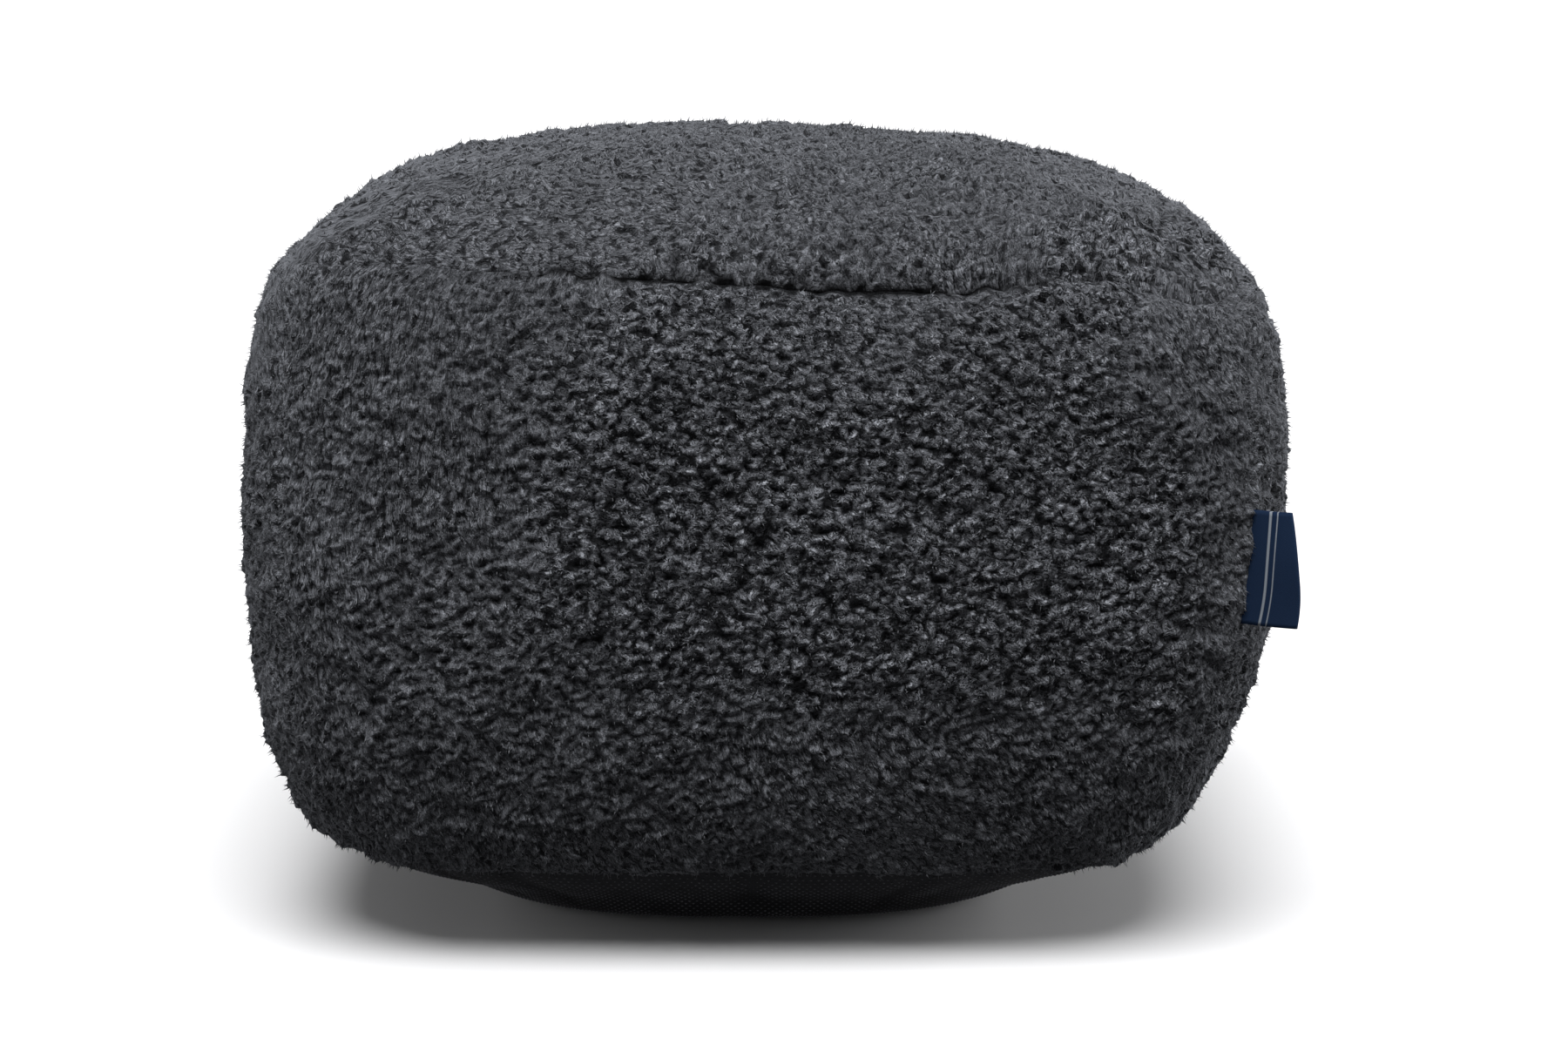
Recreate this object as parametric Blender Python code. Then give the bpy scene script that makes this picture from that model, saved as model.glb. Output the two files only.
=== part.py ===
"""Bean bag footstool.

A square bag of long-pile fleece, filled until its sides bulge and its top domes, then slumped a little to
its right. The frame is metres, +Z up: X runs to the stool's right, Y to its back, and the origin is the
middle of the flat patch on which it rests. Four solids:

  filled_body  the four side panels with the fill that they hold, one solid with sewn grooves
  top_panel    the fleece square over the crown of the fill, sewn down along the top seam
  base_panel   the non-slip cloth under the fill, tucked in behind the fleece at the base seam
  side_label   a woven strip folded double and caught in the front right corner seam

Every solid is read from one smooth skin, the tips of the pile. A point of the skin has a level, which counts
rows of SECTIONS from the floor up to the peak, and a place around: 0 to 1 along the front panel from its
left corner seam to its right one, then 1 to 2 along the right, 2 to 3 the back and 3 to 4 the left panel.
"""

import math
from collections import namedtuple

import bmesh
import bpy
import numpy as np

# ---------------------------------------------------------------- driving dimensions (metres)

Section = namedtuple("Section", "name height half_width half_depth squareness shift")

# One row for each outline of the skin, from the floor up. Squareness is the power of a superellipse: 2 is
# round and 9 nearly square. Shift moves the outline to the stool's right.
SECTIONS = (
    Section("rest_centre", 0.000, 0.0000, 0.000, 2.2, 0.000),
    Section("rest_edge", 0.000, 0.1060, 0.101, 2.6, 0.000),
    Section("base_turn", 0.018, 0.1480, 0.145, 3.4, 0.000),
    Section("base_seam", 0.035, 0.1830, 0.179, 4.8, 0.000),
    Section("under_curve", 0.068, 0.2070, 0.203, 5.0, 0.000),
    Section("low_side", 0.112, 0.2200, 0.216, 5.4, 0.003),
    Section("mid_side", 0.172, 0.2265, 0.223, 5.8, 0.0075),
    Section("high_side", 0.232, 0.2260, 0.221, 6.0, 0.009),
    Section("side_lip", 0.276, 0.2160, 0.213, 7.0, 0.007),
    Section("top_seam", 0.298, 0.2000, 0.198, 9.0, 0.006),
    Section("shoulder", 0.317, 0.1760, 0.175, 5.4, 0.011),
    Section("top_slope", 0.332, 0.1320, 0.130, 3.6, 0.018),
    Section("near_peak", 0.3415, 0.0720, 0.071, 2.5, 0.020),
    Section("peak", 0.3440, 0.0000, 0.000, 2.2, 0.022),
)
LEVEL = {section.name: index for index, section in enumerate(SECTIONS)}
REST, BASE_SEAM, TOP_SEAM, PEAK = (LEVEL[n] for n in ("rest_edge", "base_seam", "top_seam", "peak"))

# The slump: the right side of the top seam hangs lower than the left by LEAN times their distance.
LEAN = -0.028
SEAM_HEIGHT = SECTIONS[TOP_SEAM].height

# A row for each corner, named by the two panels that meet there, in the order of their place around.
Corner = namedtuple("Corner", "name droop ridge")
CORNERS = (
    Corner("left_front", 0.000, 0.0015),
    Corner("front_right", 0.007, 0.0040),
    Corner("right_back", 0.012, 0.0020),
    Corner("back_left", 0.002, 0.0020),
)

# A row for each side panel: which way it faces, and how far its top edge is pushed out at mid length.
Panel = namedtuple("Panel", "name facing_x facing_y push")
PANELS = (
    Panel("front", 0, -1, 0.000),
    Panel("right", 1, 0, 0.014),
    Panel("back", 0, 1, 0.004),
    Panel("left", -1, 0, 0.000),
)

# Soft upright folds in the side panels: place around and level at both ends, half width and depth.
Fold = namedtuple("Fold", "around_top level_top around_low level_low half_width depth")
FOLDS = (
    Fold(0.937, 8.60, 0.945, 5.60, 0.011, 0.0030),
    Fold(0.895, 6.60, 0.870, 4.30, 0.012, 0.0022),
    Fold(0.050, 8.20, 0.060, 6.00, 0.011, 0.0015),
    Fold(1.070, 8.40, 1.075, 6.30, 0.012, 0.0025),
    Fold(1.900, 8.50, 1.910, 5.40, 0.013, 0.0025),
    Fold(2.100, 8.30, 2.085, 5.00, 0.013, 0.0020),
    Fold(3.060, 8.30, 3.070, 5.80, 0.012, 0.0020),
)

# How much harder or softer the top seam is pulled in: place around, half width there, share of its depth.
Pull = namedtuple("Pull", "around half_width share")
SEAM_PULLS = (
    Pull(0.12, 0.14, -0.35),
    Pull(0.62, 0.20, 0.30),
    Pull(2.40, 0.25, 0.15),
)
# Small dips of the top seam along its length: place around, half width there, drop.
Dip = namedtuple("Dip", "around half_width drop")
SEAM_DIPS = (
    Dip(0.60, 0.16, 0.002),
    Dip(0.84, 0.09, -0.006),
    Dip(2.45, 0.20, 0.003),
)

TOP_SEAM_DEPTH = 0.0068
TOP_SEAM_WIDTH = 0.018
CORNER_SEAM_DEPTH = 0.005
CORNER_SEAM_WIDTH = 0.009
BASE_SEAM_DEPTH = 0.0075
BASE_SEAM_WIDTH = 0.014
BASE_TUCK = 0.007
RIDGE_WIDTH = 0.018
RIDGE_END = 12.0

FLEECE_THICKNESS = 0.0105
FLEECE_EDGE = 0.0015
BASE_THICKNESS = 0.002
GAP = 0.0003
SEAM_SLIT = 0.014

COLUMNS_PER_PANEL = 22
SIDE_RINGS = 18
BASE_LEVELS = (1.0, 1.45, 1.9, 2.35, 2.75)
TOP_LEVELS = (9.2, 9.45, 9.75, 10.1, 10.55, 11.05, 11.6, 12.15, 12.65)
EASING = 0.8

LABEL_AROUND = 1.0
LABEL_LOW_LEVEL = 5.70
LABEL_HIGH_LEVEL = 6.50
LABEL_REACH_LOW = 0.0275
LABEL_REACH_HIGH = 0.0200
LABEL_ROOT_DEPTH = 0.0030
LABEL_PLY = 0.0008
LABEL_PLY_GAP = 0.0004
LABEL_TURN = math.radians(24)
LABEL_BOW = 0.0012
LABEL_STATIONS = 9
LABEL_STEPS = 7

FINISHES = {
    "fleece": ((0.060, 0.063, 0.070), 0.95),
    "grip_cloth": ((0.012, 0.012, 0.014), 0.75),
    "label_weave": ((0.012, 0.030, 0.090), 0.65),
}


# ---------------------------------------------------------------- the skin

def between_rows(position):
    """The numbers of SECTIONS at a level between its rows, on curves that never overshoot a row."""
    rows = np.array([section[1:] for section in SECTIONS])
    steps = np.diff(rows, axis=0)
    index = min(int(position), len(steps) - 1)
    part = position - index

    def slope(row):
        if row == 0:
            return steps[0]
        if row == len(steps):
            return steps[-1] * (0, 1, 1, 1, 1)
        product = steps[row - 1] * steps[row]
        total = steps[row - 1] + steps[row]
        total[total == 0] = 1
        return np.where(product > 0, 2 * product / total, 0)

    rise = part * part * (3 - 2 * part)
    start_pull = part * (1 - part) ** 2
    end_pull = -part * part * (1 - part)
    return rows[index] * (1 - rise) + rows[index + 1] * rise + slope(index) * start_pull + slope(index + 1) * end_pull


def bell(distance):
    """1 at no distance, falling smoothly to 0 within about two."""
    return np.exp(-distance * distance)


def along_panel(around):
    """Which panel each place is on, and -1 to 1 across it from its left seam to its right one."""
    panel = np.floor(around).astype(int) % len(PANELS)
    return panel, 2 * (around - np.floor(around)) - 1


def by_corner(around, column):
    """A column of CORNERS at the corner that is nearest to each place around."""
    values = np.array([getattr(corner, column) for corner in CORNERS])
    return values[np.round(around).astype(int) % len(CORNERS)]


def waves(around, rows, column):
    """The sum of a table's bells along the top seam."""
    total = np.zeros_like(around)
    for row in rows:
        total += getattr(row, column) * bell((around - row.around) / row.half_width)
    return total


def skin(level, around):
    """Points of the smooth skin at one level, one for each place around."""
    height, half_width, half_depth, squareness, shift = between_rows(level)
    panel, across = along_panel(around)
    facing_x = np.array([p.facing_x for p in PANELS])[panel]
    facing_y = np.array([p.facing_y for p in PANELS])[panel]
    push = np.array([p.push for p in PANELS])[panel]

    square_x = facing_x - across * facing_y
    square_y = facing_y + across * facing_x
    reach = (np.abs(square_x) ** squareness + np.abs(square_y) ** squareness) ** (-1 / squareness)
    near_top_seam = bell((level - TOP_SEAM) / 1.15)
    bulge = push * (1 - across * across) * near_top_seam
    x = half_width * reach * square_x + shift + bulge * facing_x
    y = half_depth * reach * square_y + bulge * facing_y

    lean = LEAN * x * min(height / SEAM_HEIGHT, 1) ** 1.5
    droop = by_corner(around, "droop") * np.abs(across) ** 3
    dip = waves(around, SEAM_DIPS, "drop")
    return np.stack([x, y, height + lean - (droop + dip) * near_top_seam], axis=1)


def outward(level, around):
    """Unit normals of the skin, from its slopes along and across a ring."""
    along_step, level_step = 0.002, 0.03
    below, above = max(level - level_step, 0.01), min(level + level_step, PEAK - 0.01)
    along = skin(level, around + along_step) - skin(level, around - along_step)
    upward = skin(above, around) - skin(below, around)
    normal = np.cross(along, upward)
    return normal / np.linalg.norm(normal, axis=1, keepdims=True)


# ---------------------------------------------------------------- what is sunk into the skin

def valley(distance, depth, width):
    """A sewn valley with rolled edges: full depth on the seam and nothing a width away."""
    return depth * np.clip(1 - distance / width, 0, 1) ** 2


def from_seam(level, around, seam):
    """How far each point of a ring is from a seam that runs round the bag."""
    return np.linalg.norm(skin(level, around) - skin(seam, around), axis=1)


def top_seam_depth(around):
    return TOP_SEAM_DEPTH * (1 + waves(around, SEAM_PULLS, "share"))


def corner_distance(level, around):
    across = along_panel(around)[1]
    return (1 - np.abs(across)) * between_rows(level)[1]


def fold_depth(level, around):
    """The soft upright folds, which fade out at both ends."""
    half_width = between_rows(level)[1]
    total = np.zeros_like(around)
    for fold in FOLDS:
        share = (level - fold.level_low) / (fold.level_top - fold.level_low)
        if not 0 < share < 1:
            continue
        place = fold.around_low + (fold.around_top - fold.around_low) * share
        sideways = (around - place) * 2 * half_width
        total += fold.depth * math.sin(math.pi * share) ** 0.5 * bell(sideways / fold.half_width)
    return total


def side_depth(level, around):
    """How far the fleece of the side panels lies inside the skin."""
    depth = valley(from_seam(level, around, TOP_SEAM), top_seam_depth(around), TOP_SEAM_WIDTH)
    base = valley(from_seam(level, around, BASE_SEAM), BASE_SEAM_DEPTH, BASE_SEAM_WIDTH)
    corner = valley(corner_distance(level, around), CORNER_SEAM_DEPTH, CORNER_SEAM_WIDTH)
    return np.maximum(np.maximum(depth, base), corner) + fold_depth(level, around)


def top_depth(level, around):
    """The same for the top panel, less the soft ridges that run up from its corners."""
    seam = valley(from_seam(level, around, TOP_SEAM), top_seam_depth(around), TOP_SEAM_WIDTH)
    share = min((level - TOP_SEAM) / (RIDGE_END - TOP_SEAM), 1)
    height = by_corner(around, "ridge") * math.sin(math.pi * share) ** 0.7
    return seam - height * bell(corner_distance(level, around) / RIDGE_WIDTH)


def top_lining(level, around):
    """The underside of the top fleece, which thins to its sewn edge."""
    flattened = valley(from_seam(level, around, TOP_SEAM), 1, TOP_SEAM_WIDTH)
    thickness = FLEECE_EDGE + (FLEECE_THICKNESS - FLEECE_EDGE) * (1 - flattened)
    return top_depth(level, around) + thickness


def base_depth(level, around):
    """The grip cloth lies on the skin where it rests and tucks in behind the fleece at its seam."""
    share = max(level - REST, 0) / (BASE_SEAM - REST)
    return np.full_like(around, BASE_TUCK * share ** 3)


def base_lining(level, around):
    return base_depth(level, around) + BASE_THICKNESS


def sunk(level, around, depth):
    """A ring of the skin moved inwards by a depth at each point."""
    return skin(level, around) - outward(level, around) * np.reshape(depth, (-1, 1))


# ---------------------------------------------------------------- rings and solids

def eased(count):
    """0 to 1 in count steps, closer together at both ends, where the seams are."""
    even = np.arange(count + 1) / count
    return (1 - EASING) * even + EASING * (0.5 - 0.5 * np.cos(math.pi * even))


def columns():
    """The places around of every ring, which crowd towards the corner seams."""
    one_panel = eased(COLUMNS_PER_PANEL)[:-1]
    return np.concatenate([panel + one_panel for panel in range(len(PANELS))])


def pole(level, depth):
    """The point at the middle of the floor patch or at the peak, moved inwards by a depth."""
    height, _, _, _, shift = between_rows(level)
    inwards = 1 if level < BASE_SEAM else -1
    return np.array([[shift, 0, height + LEAN * shift * min(height / SEAM_HEIGHT, 1) ** 1.5 + inwards * depth]])


def solid(name, rings, finish):
    """A closed object from a first pole, rings of equal count and a last pole."""
    count = len(rings[1])
    points = np.concatenate(rings)
    faces = [(0, 1 + (j + 1) % count, 1 + j) for j in range(count)]
    for i in range(len(rings) - 3):
        low, high = 1 + i * count, 1 + (i + 1) * count
        for j in range(count):
            k = (j + 1) % count
            faces += [(low + j, low + k, high + k), (low + j, high + k, high + j)]
    start, last = 1 + (len(rings) - 3) * count, len(points) - 1
    faces += [(start + j, start + (j + 1) % count, last) for j in range(count)]
    return closed_object(name, points, faces, finish)


def closed_object(name, points, faces, finish):
    mesh = bpy.data.meshes.new(name)
    mesh.from_pydata([tuple(map(float, p)) for p in points], [], faces)
    shell = bmesh.new()
    shell.from_mesh(mesh)
    bmesh.ops.recalc_face_normals(shell, faces=shell.faces)
    shell.to_mesh(mesh)
    shell.free()
    mesh.shade_smooth()
    mesh.set_sharp_from_angle(angle=math.radians(50))
    mesh.materials.append(material(finish))
    made = bpy.data.objects.new(name, mesh)
    bpy.context.scene.collection.objects.link(made)
    return made


def material(finish):
    """A plain finish of one colour and roughness."""
    colour, roughness = FINISHES[finish]
    made = bpy.data.materials.get(finish) or bpy.data.materials.new(finish)
    made.use_nodes = True
    shader = made.node_tree.nodes["Principled BSDF"]
    shader.inputs["Base Color"].default_value = (*colour, 1)
    shader.inputs["Roughness"].default_value = roughness
    shader.inputs["Metallic"].default_value = 0
    return made


# ---------------------------------------------------------------- the four pieces

def filled_body(around):
    """The side panels and their fill. It steps in under the top and base cloths, just past each seam."""
    under_base, under_top = BASE_SEAM + SEAM_SLIT, TOP_SEAM - SEAM_SLIT
    side_levels = BASE_SEAM + (TOP_SEAM - BASE_SEAM) * eased(SIDE_RINGS)
    side_levels = np.clip(side_levels, under_base, under_top)
    rings = [pole(0, BASE_THICKNESS + GAP)]
    for level in (*BASE_LEVELS, BASE_SEAM - SEAM_SLIT):
        rings.append(sunk(level, around, base_lining(level, around) + GAP))
    rings.append(sunk(under_base, around, base_lining(BASE_SEAM, around) + GAP))
    for level in side_levels:
        rings.append(sunk(level, around, side_depth(level, around)))
    rings.append(sunk(under_top, around, top_lining(TOP_SEAM, around) + GAP))
    for level in (TOP_SEAM + SEAM_SLIT, *TOP_LEVELS):
        rings.append(sunk(level, around, top_lining(level, around) + GAP))
    rings.append(pole(PEAK, FLEECE_THICKNESS + GAP))
    return solid("filled_body", rings, "fleece")


def top_panel(around):
    """The top fleece: down over its pile to the seam, and back up along its underside."""
    levels = (TOP_SEAM + SEAM_SLIT, *TOP_LEVELS)
    rings = [pole(PEAK, 0)]
    for level in reversed(levels):
        rings.append(sunk(level, around, top_depth(level, around)))
    for level in levels:
        rings.append(sunk(level, around, top_lining(level, around)))
    rings.append(pole(PEAK, FLEECE_THICKNESS))
    return solid("top_panel", rings, "fleece")


def base_panel(around):
    """The grip cloth: flat where the stool rests, then rising to its tucked edge."""
    levels = (*BASE_LEVELS, BASE_SEAM - SEAM_SLIT)
    rings = [pole(0, BASE_THICKNESS)]
    for level in levels:
        rings.append(sunk(level, around, base_lining(level, around)))
    for level in reversed(levels):
        rings.append(sunk(level, around, base_depth(level, around)))
    rings.append(pole(0, 0))
    return solid("base_panel", rings, "grip_cloth")


def label_section(level, share):
    """The hairpin outline of the folded label at one height, from its root out to the fold and back."""
    place = np.array([LABEL_AROUND])
    normal = outward(level, place)[0] * (1, 1, 0)
    normal /= np.linalg.norm(normal)
    reach = LABEL_REACH_LOW + (LABEL_REACH_HIGH - LABEL_REACH_LOW) * share
    reach += LABEL_BOW * (1 - (2 * share - 1) ** 2)
    step = reach / LABEL_STEPS
    centre = sunk(level, place, LABEL_ROOT_DEPTH)[0]
    heading = math.atan2(normal[1], normal[0])
    outer, inner = LABEL_PLY + LABEL_PLY_GAP / 2, LABEL_PLY_GAP / 2
    left, right, left_inner, right_inner = [], [], [], []
    for k in range(LABEL_STEPS + 1):
        turn = LABEL_TURN * (k / LABEL_STEPS) ** 0.8
        ahead = np.array([math.cos(heading + turn), math.sin(heading + turn), 0])
        sideways = np.array([-ahead[1], ahead[0], 0])
        left.append(centre + sideways * outer)
        right.append(centre - sideways * outer)
        left_inner.append(centre + sideways * inner)
        right_inner.append(centre - sideways * inner)
        last = (centre, ahead, sideways)
        centre = centre + ahead * step
    centre, ahead, sideways = last
    fold = []
    for k in range(1, 6):
        angle = math.pi * k / 6
        fold.append(centre + outer * (sideways * math.cos(angle) + ahead * math.sin(angle)))
    return left + fold + right[::-1] + right_inner + left_inner[::-1]


def side_label():
    """The label: its hairpin outline stacked up the corner seam and closed at both ends."""
    shares = np.linspace(0, 1, LABEL_STATIONS)
    outlines = [
        label_section(LABEL_LOW_LEVEL + (LABEL_HIGH_LEVEL - LABEL_LOW_LEVEL) * share, share) for share in shares
    ]
    count = len(outlines[0])
    points = np.concatenate(outlines)
    faces = []
    for i in range(LABEL_STATIONS - 1):
        low, high = i * count, (i + 1) * count
        for j in range(count):
            k = (j + 1) % count
            faces += [(low + j, low + k, high + k), (low + j, high + k, high + j)]
    faces.append(tuple(range(count)))
    faces.append(tuple(range(len(points) - 1, len(points) - 1 - count, -1)))
    return closed_object("side_label", points, faces, "label_weave")


def build():
    for old in list(bpy.data.objects):
        bpy.data.objects.remove(old)
    around = columns()
    filled_body(around)
    top_panel(around)
    base_panel(around)
    side_label()


build()
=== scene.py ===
# %% [markdown]
# # A bean bag footstool in long-pile fleece
# The stool is a square bag of teddy fleece, filled with loose beads until its sides bulge and its top domes.
# Its CAD model has four plain solids. This lesson dresses them. The pile is built as a thick crust of curled
# locks, its finish adds the smaller tufts and their fibres, and loose fibres give it a soft outline. The base
# cloth gets its raised dots, and the label its weave. All sizes are metres, +Z is up and the front faces -Y.

# %% Load the CAD frame
import math
from collections import namedtuple

import bpy
import numpy as np
from mathutils.kdtree import KDTree
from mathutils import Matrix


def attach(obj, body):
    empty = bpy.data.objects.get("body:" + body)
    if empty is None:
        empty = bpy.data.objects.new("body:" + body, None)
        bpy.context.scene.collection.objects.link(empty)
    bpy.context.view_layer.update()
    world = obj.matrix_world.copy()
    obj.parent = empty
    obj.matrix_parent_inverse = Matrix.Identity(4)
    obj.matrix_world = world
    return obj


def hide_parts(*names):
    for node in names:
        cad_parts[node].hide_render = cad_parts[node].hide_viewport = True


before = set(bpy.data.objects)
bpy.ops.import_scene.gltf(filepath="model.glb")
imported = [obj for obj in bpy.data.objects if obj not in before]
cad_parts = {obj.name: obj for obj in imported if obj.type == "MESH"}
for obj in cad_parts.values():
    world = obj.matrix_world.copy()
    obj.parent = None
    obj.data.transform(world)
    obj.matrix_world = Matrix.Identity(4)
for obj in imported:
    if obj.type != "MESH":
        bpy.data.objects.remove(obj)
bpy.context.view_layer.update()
print("CAD nodes:", sorted(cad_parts))

# %% [markdown]
# ## The skin that everything is read from
# The real bag takes its shape from its cut and its filling. A cloth simulation could puff up a sewn box, but
# it wouldn't slump the way this stool does, so the shape is lofted: a table gives the outline at fourteen
# heights, and smooth curves run between them. A point of the skin has a level, counted in rows of the table
# from the floor up, and a place around: 0 to 1 along the front panel from its left seam to its right one, then
# 1 to 2 along the right, 2 to 3 the back and 3 to 4 the left panel. The CAD solids use the same table, so the
# fleece lands exactly on them.

# %% The outlines, from the floor up
Section = namedtuple("Section", "name height half_width half_depth squareness shift")
SECTIONS = (
    Section("rest_centre", 0.000, 0.0000, 0.000, 2.2, 0.000),
    Section("rest_edge", 0.000, 0.1060, 0.101, 2.6, 0.000),
    Section("base_turn", 0.018, 0.1480, 0.145, 3.4, 0.000),
    Section("base_seam", 0.035, 0.1830, 0.179, 4.8, 0.000),
    Section("under_curve", 0.068, 0.2070, 0.203, 5.0, 0.000),
    Section("low_side", 0.112, 0.2200, 0.216, 5.4, 0.003),
    Section("mid_side", 0.172, 0.2265, 0.223, 5.8, 0.0075),
    Section("high_side", 0.232, 0.2260, 0.221, 6.0, 0.009),
    Section("side_lip", 0.276, 0.2160, 0.213, 7.0, 0.007),
    Section("top_seam", 0.298, 0.2000, 0.198, 9.0, 0.006),
    Section("shoulder", 0.317, 0.1760, 0.175, 5.4, 0.011),
    Section("top_slope", 0.332, 0.1320, 0.130, 3.6, 0.018),
    Section("near_peak", 0.3415, 0.0720, 0.071, 2.5, 0.020),
    Section("peak", 0.3440, 0.0000, 0.000, 2.2, 0.022),
)
LEVEL = {section.name: index for index, section in enumerate(SECTIONS)}
REST, BASE_SEAM, TOP_SEAM, PEAK = (LEVEL[n] for n in ("rest_edge", "base_seam", "top_seam", "peak"))
SEAM_HEIGHT = SECTIONS[TOP_SEAM].height
LEAN, LEAN_POWER = -0.028, 1.5
DROOP_POWER = 3
NEAR_TOP_SEAM = 1.15

Corner = namedtuple("Corner", "name droop ridge")
CORNERS = (
    Corner("left_front", 0.000, 0.0015),
    Corner("front_right", 0.007, 0.0040),
    Corner("right_back", 0.012, 0.0020),
    Corner("back_left", 0.002, 0.0020),
)
Panel = namedtuple("Panel", "name facing_x facing_y push")
PANELS = (
    Panel("front", 0, -1, 0.000),
    Panel("right", 1, 0, 0.014),
    Panel("back", 0, 1, 0.004),
    Panel("left", -1, 0, 0.000),
)
Dip = namedtuple("Dip", "around half_width drop")
SEAM_DIPS = (
    Dip(0.60, 0.16, 0.002),
    Dip(0.84, 0.09, -0.006),
    Dip(2.45, 0.20, 0.003),
)
print("Outlines:", len(SECTIONS), "and panels:", len(PANELS))

# %% Smooth curves between the outlines
def row_slopes():
    """How fast each number of SECTIONS changes at each row, held back so that a curve never overshoots."""
    rows = np.array([section[1:] for section in SECTIONS])
    steps = np.diff(rows, axis=0)
    product = steps[:-1] * steps[1:]
    total = steps[:-1] + steps[1:]
    total[total == 0] = 1
    inner = np.where(product > 0, 2 * product / total, 0)
    flat_peak = steps[-1:] * (0, 1, 1, 1, 1)
    return rows, np.concatenate([steps[:1], inner, flat_peak])


ROWS, SLOPES = row_slopes()


def between_rows(level):
    """Height, half width, half depth, squareness and shift at levels between the rows of SECTIONS."""
    level = np.asarray(level, dtype=float)
    index = np.minimum(level.astype(int), len(ROWS) - 2)
    part = (level - index)[..., None]
    rise = part * part * (3 - 2 * part)
    pulled = SLOPES[index] * part * (1 - part) ** 2 - SLOPES[index + 1] * part * part * (1 - part)
    return np.moveaxis(ROWS[index] * (1 - rise) + ROWS[index + 1] * rise + pulled, -1, 0)


def bell(distance):
    """1 at no distance, falling smoothly to 0 within about two."""
    return np.exp(-distance * distance)


def along_panel(around):
    """Which panel each place is on, and -1 to 1 across it from its left seam to its right one."""
    panel = np.floor(around).astype(int) % len(PANELS)
    return panel, 2 * (around - np.floor(around)) - 1


def by_corner(around, column):
    """A number of the nearest corner seam, for each place around."""
    values = np.array([getattr(corner, column) for corner in CORNERS])
    return values[np.round(around).astype(int) % len(CORNERS)]


def waves(around, rows, column):
    """The bells of a table, added up at each place around."""
    return sum(getattr(row, column) * bell((around - row.around) / row.half_width) for row in rows)


print("Half width at mid height:", between_rows(LEVEL["mid_side"])[1])

# %% The skin
AROUND_STEP, LEVEL_STEP, OFF_POLE = 0.002, 0.03, 0.01


def leaned(x, height):
    """How much higher the skin is at x, because the stool leans down to its right."""
    return LEAN * x * np.minimum(height / SEAM_HEIGHT, 1) ** LEAN_POWER


def skin(level, around):
    """Points of the smooth skin, one for each pair of a level and a place around."""
    level, around = np.broadcast_arrays(level, around)
    height, half_width, half_depth, squareness, shift = between_rows(level)
    panel, across = along_panel(around)
    facing_x, facing_y, push = (
        np.array([getattr(p, column) for p in PANELS])[panel] for column in ("facing_x", "facing_y", "push")
    )
    square_x = facing_x - across * facing_y
    square_y = facing_y + across * facing_x
    reach = (np.abs(square_x) ** squareness + np.abs(square_y) ** squareness) ** (-1 / squareness)
    near_top_seam = bell((level - TOP_SEAM) / NEAR_TOP_SEAM)
    bulge = push * (1 - across * across) * near_top_seam
    x = half_width * reach * square_x + shift + bulge * facing_x
    y = half_depth * reach * square_y + bulge * facing_y
    droop = by_corner(around, "droop") * np.abs(across) ** DROOP_POWER
    dip = waves(around, SEAM_DIPS, "drop")
    return np.stack([x, y, height + leaned(x, height) - (droop + dip) * near_top_seam], axis=-1)


def unit(arrows):
    return arrows / np.linalg.norm(arrows, axis=-1, keepdims=True)


def outward(level, around):
    """Unit normals of the skin, from its slopes along and across a ring."""
    level, around = np.broadcast_arrays(level, around)
    below, above = np.maximum(level - LEVEL_STEP, OFF_POLE), np.minimum(level + LEVEL_STEP, PEAK - OFF_POLE)
    along = skin(level, around + AROUND_STEP) - skin(level, around - AROUND_STEP)
    return unit(np.cross(along, skin(above, around) - skin(below, around)))


print("Front of the skin at mid height:", skin(LEVEL["mid_side"], 0.5).round(3))

# %% [markdown]
# ## Seams and folds, sunk into the skin
# A sewn seam in deep fleece is a soft valley: the thread pulls the cloth in, and the pile of both sides rolls
# over it. The seam along the top is pulled hardest at the middle of the front. Where the filling is slack, the
# side panels also buckle into a few soft upright folds. Each is a smooth bell across its own line.

# %% Valleys and folds
Fold = namedtuple("Fold", "around_top level_top around_low level_low half_width depth")
FOLDS = (
    Fold(0.937, 8.60, 0.945, 5.60, 0.011, 0.0030),
    Fold(0.895, 6.60, 0.870, 4.30, 0.012, 0.0022),
    Fold(0.050, 8.20, 0.060, 6.00, 0.011, 0.0015),
    Fold(1.070, 8.40, 1.075, 6.30, 0.012, 0.0025),
    Fold(1.900, 8.50, 1.910, 5.40, 0.013, 0.0025),
    Fold(2.100, 8.30, 2.085, 5.00, 0.013, 0.0020),
    Fold(3.060, 8.30, 3.070, 5.80, 0.012, 0.0020),
)
Pull = namedtuple("Pull", "around half_width share")
SEAM_PULLS = (
    Pull(0.12, 0.14, -0.35),
    Pull(0.62, 0.20, 0.30),
    Pull(2.40, 0.25, 0.15),
)
TOP_SEAM_DEPTH, TOP_SEAM_WIDTH = 0.0068, 0.018
CORNER_SEAM_DEPTH, CORNER_SEAM_WIDTH = 0.005, 0.009
BASE_SEAM_DEPTH, BASE_SEAM_WIDTH = 0.0075, 0.014
BASE_TUCK = 0.007
RIDGE_WIDTH, RIDGE_END = 0.018, 12.0
FLEECE_THICKNESS, FLEECE_EDGE = 0.0105, 0.0015
BASE_THICKNESS = 0.002
GAP = 0.0003
SEAM_SLIT = 0.014  # in levels, between two panels that meet


def valley(distance, depth, width):
    """A sewn valley with rolled edges: full depth on the seam and nothing a width away."""
    return depth * np.clip(1 - distance / width, 0, 1) ** 2


def from_seam(level, around, seam):
    """Metres straight to the point of a seam at the same place around."""
    return np.linalg.norm(skin(level, around) - skin(seam, around), axis=-1)


def near_seam(level, around, seam, width):
    """1 on a seam, falling to 0 a width away."""
    return valley(from_seam(level, around, seam), 1, width)


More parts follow.
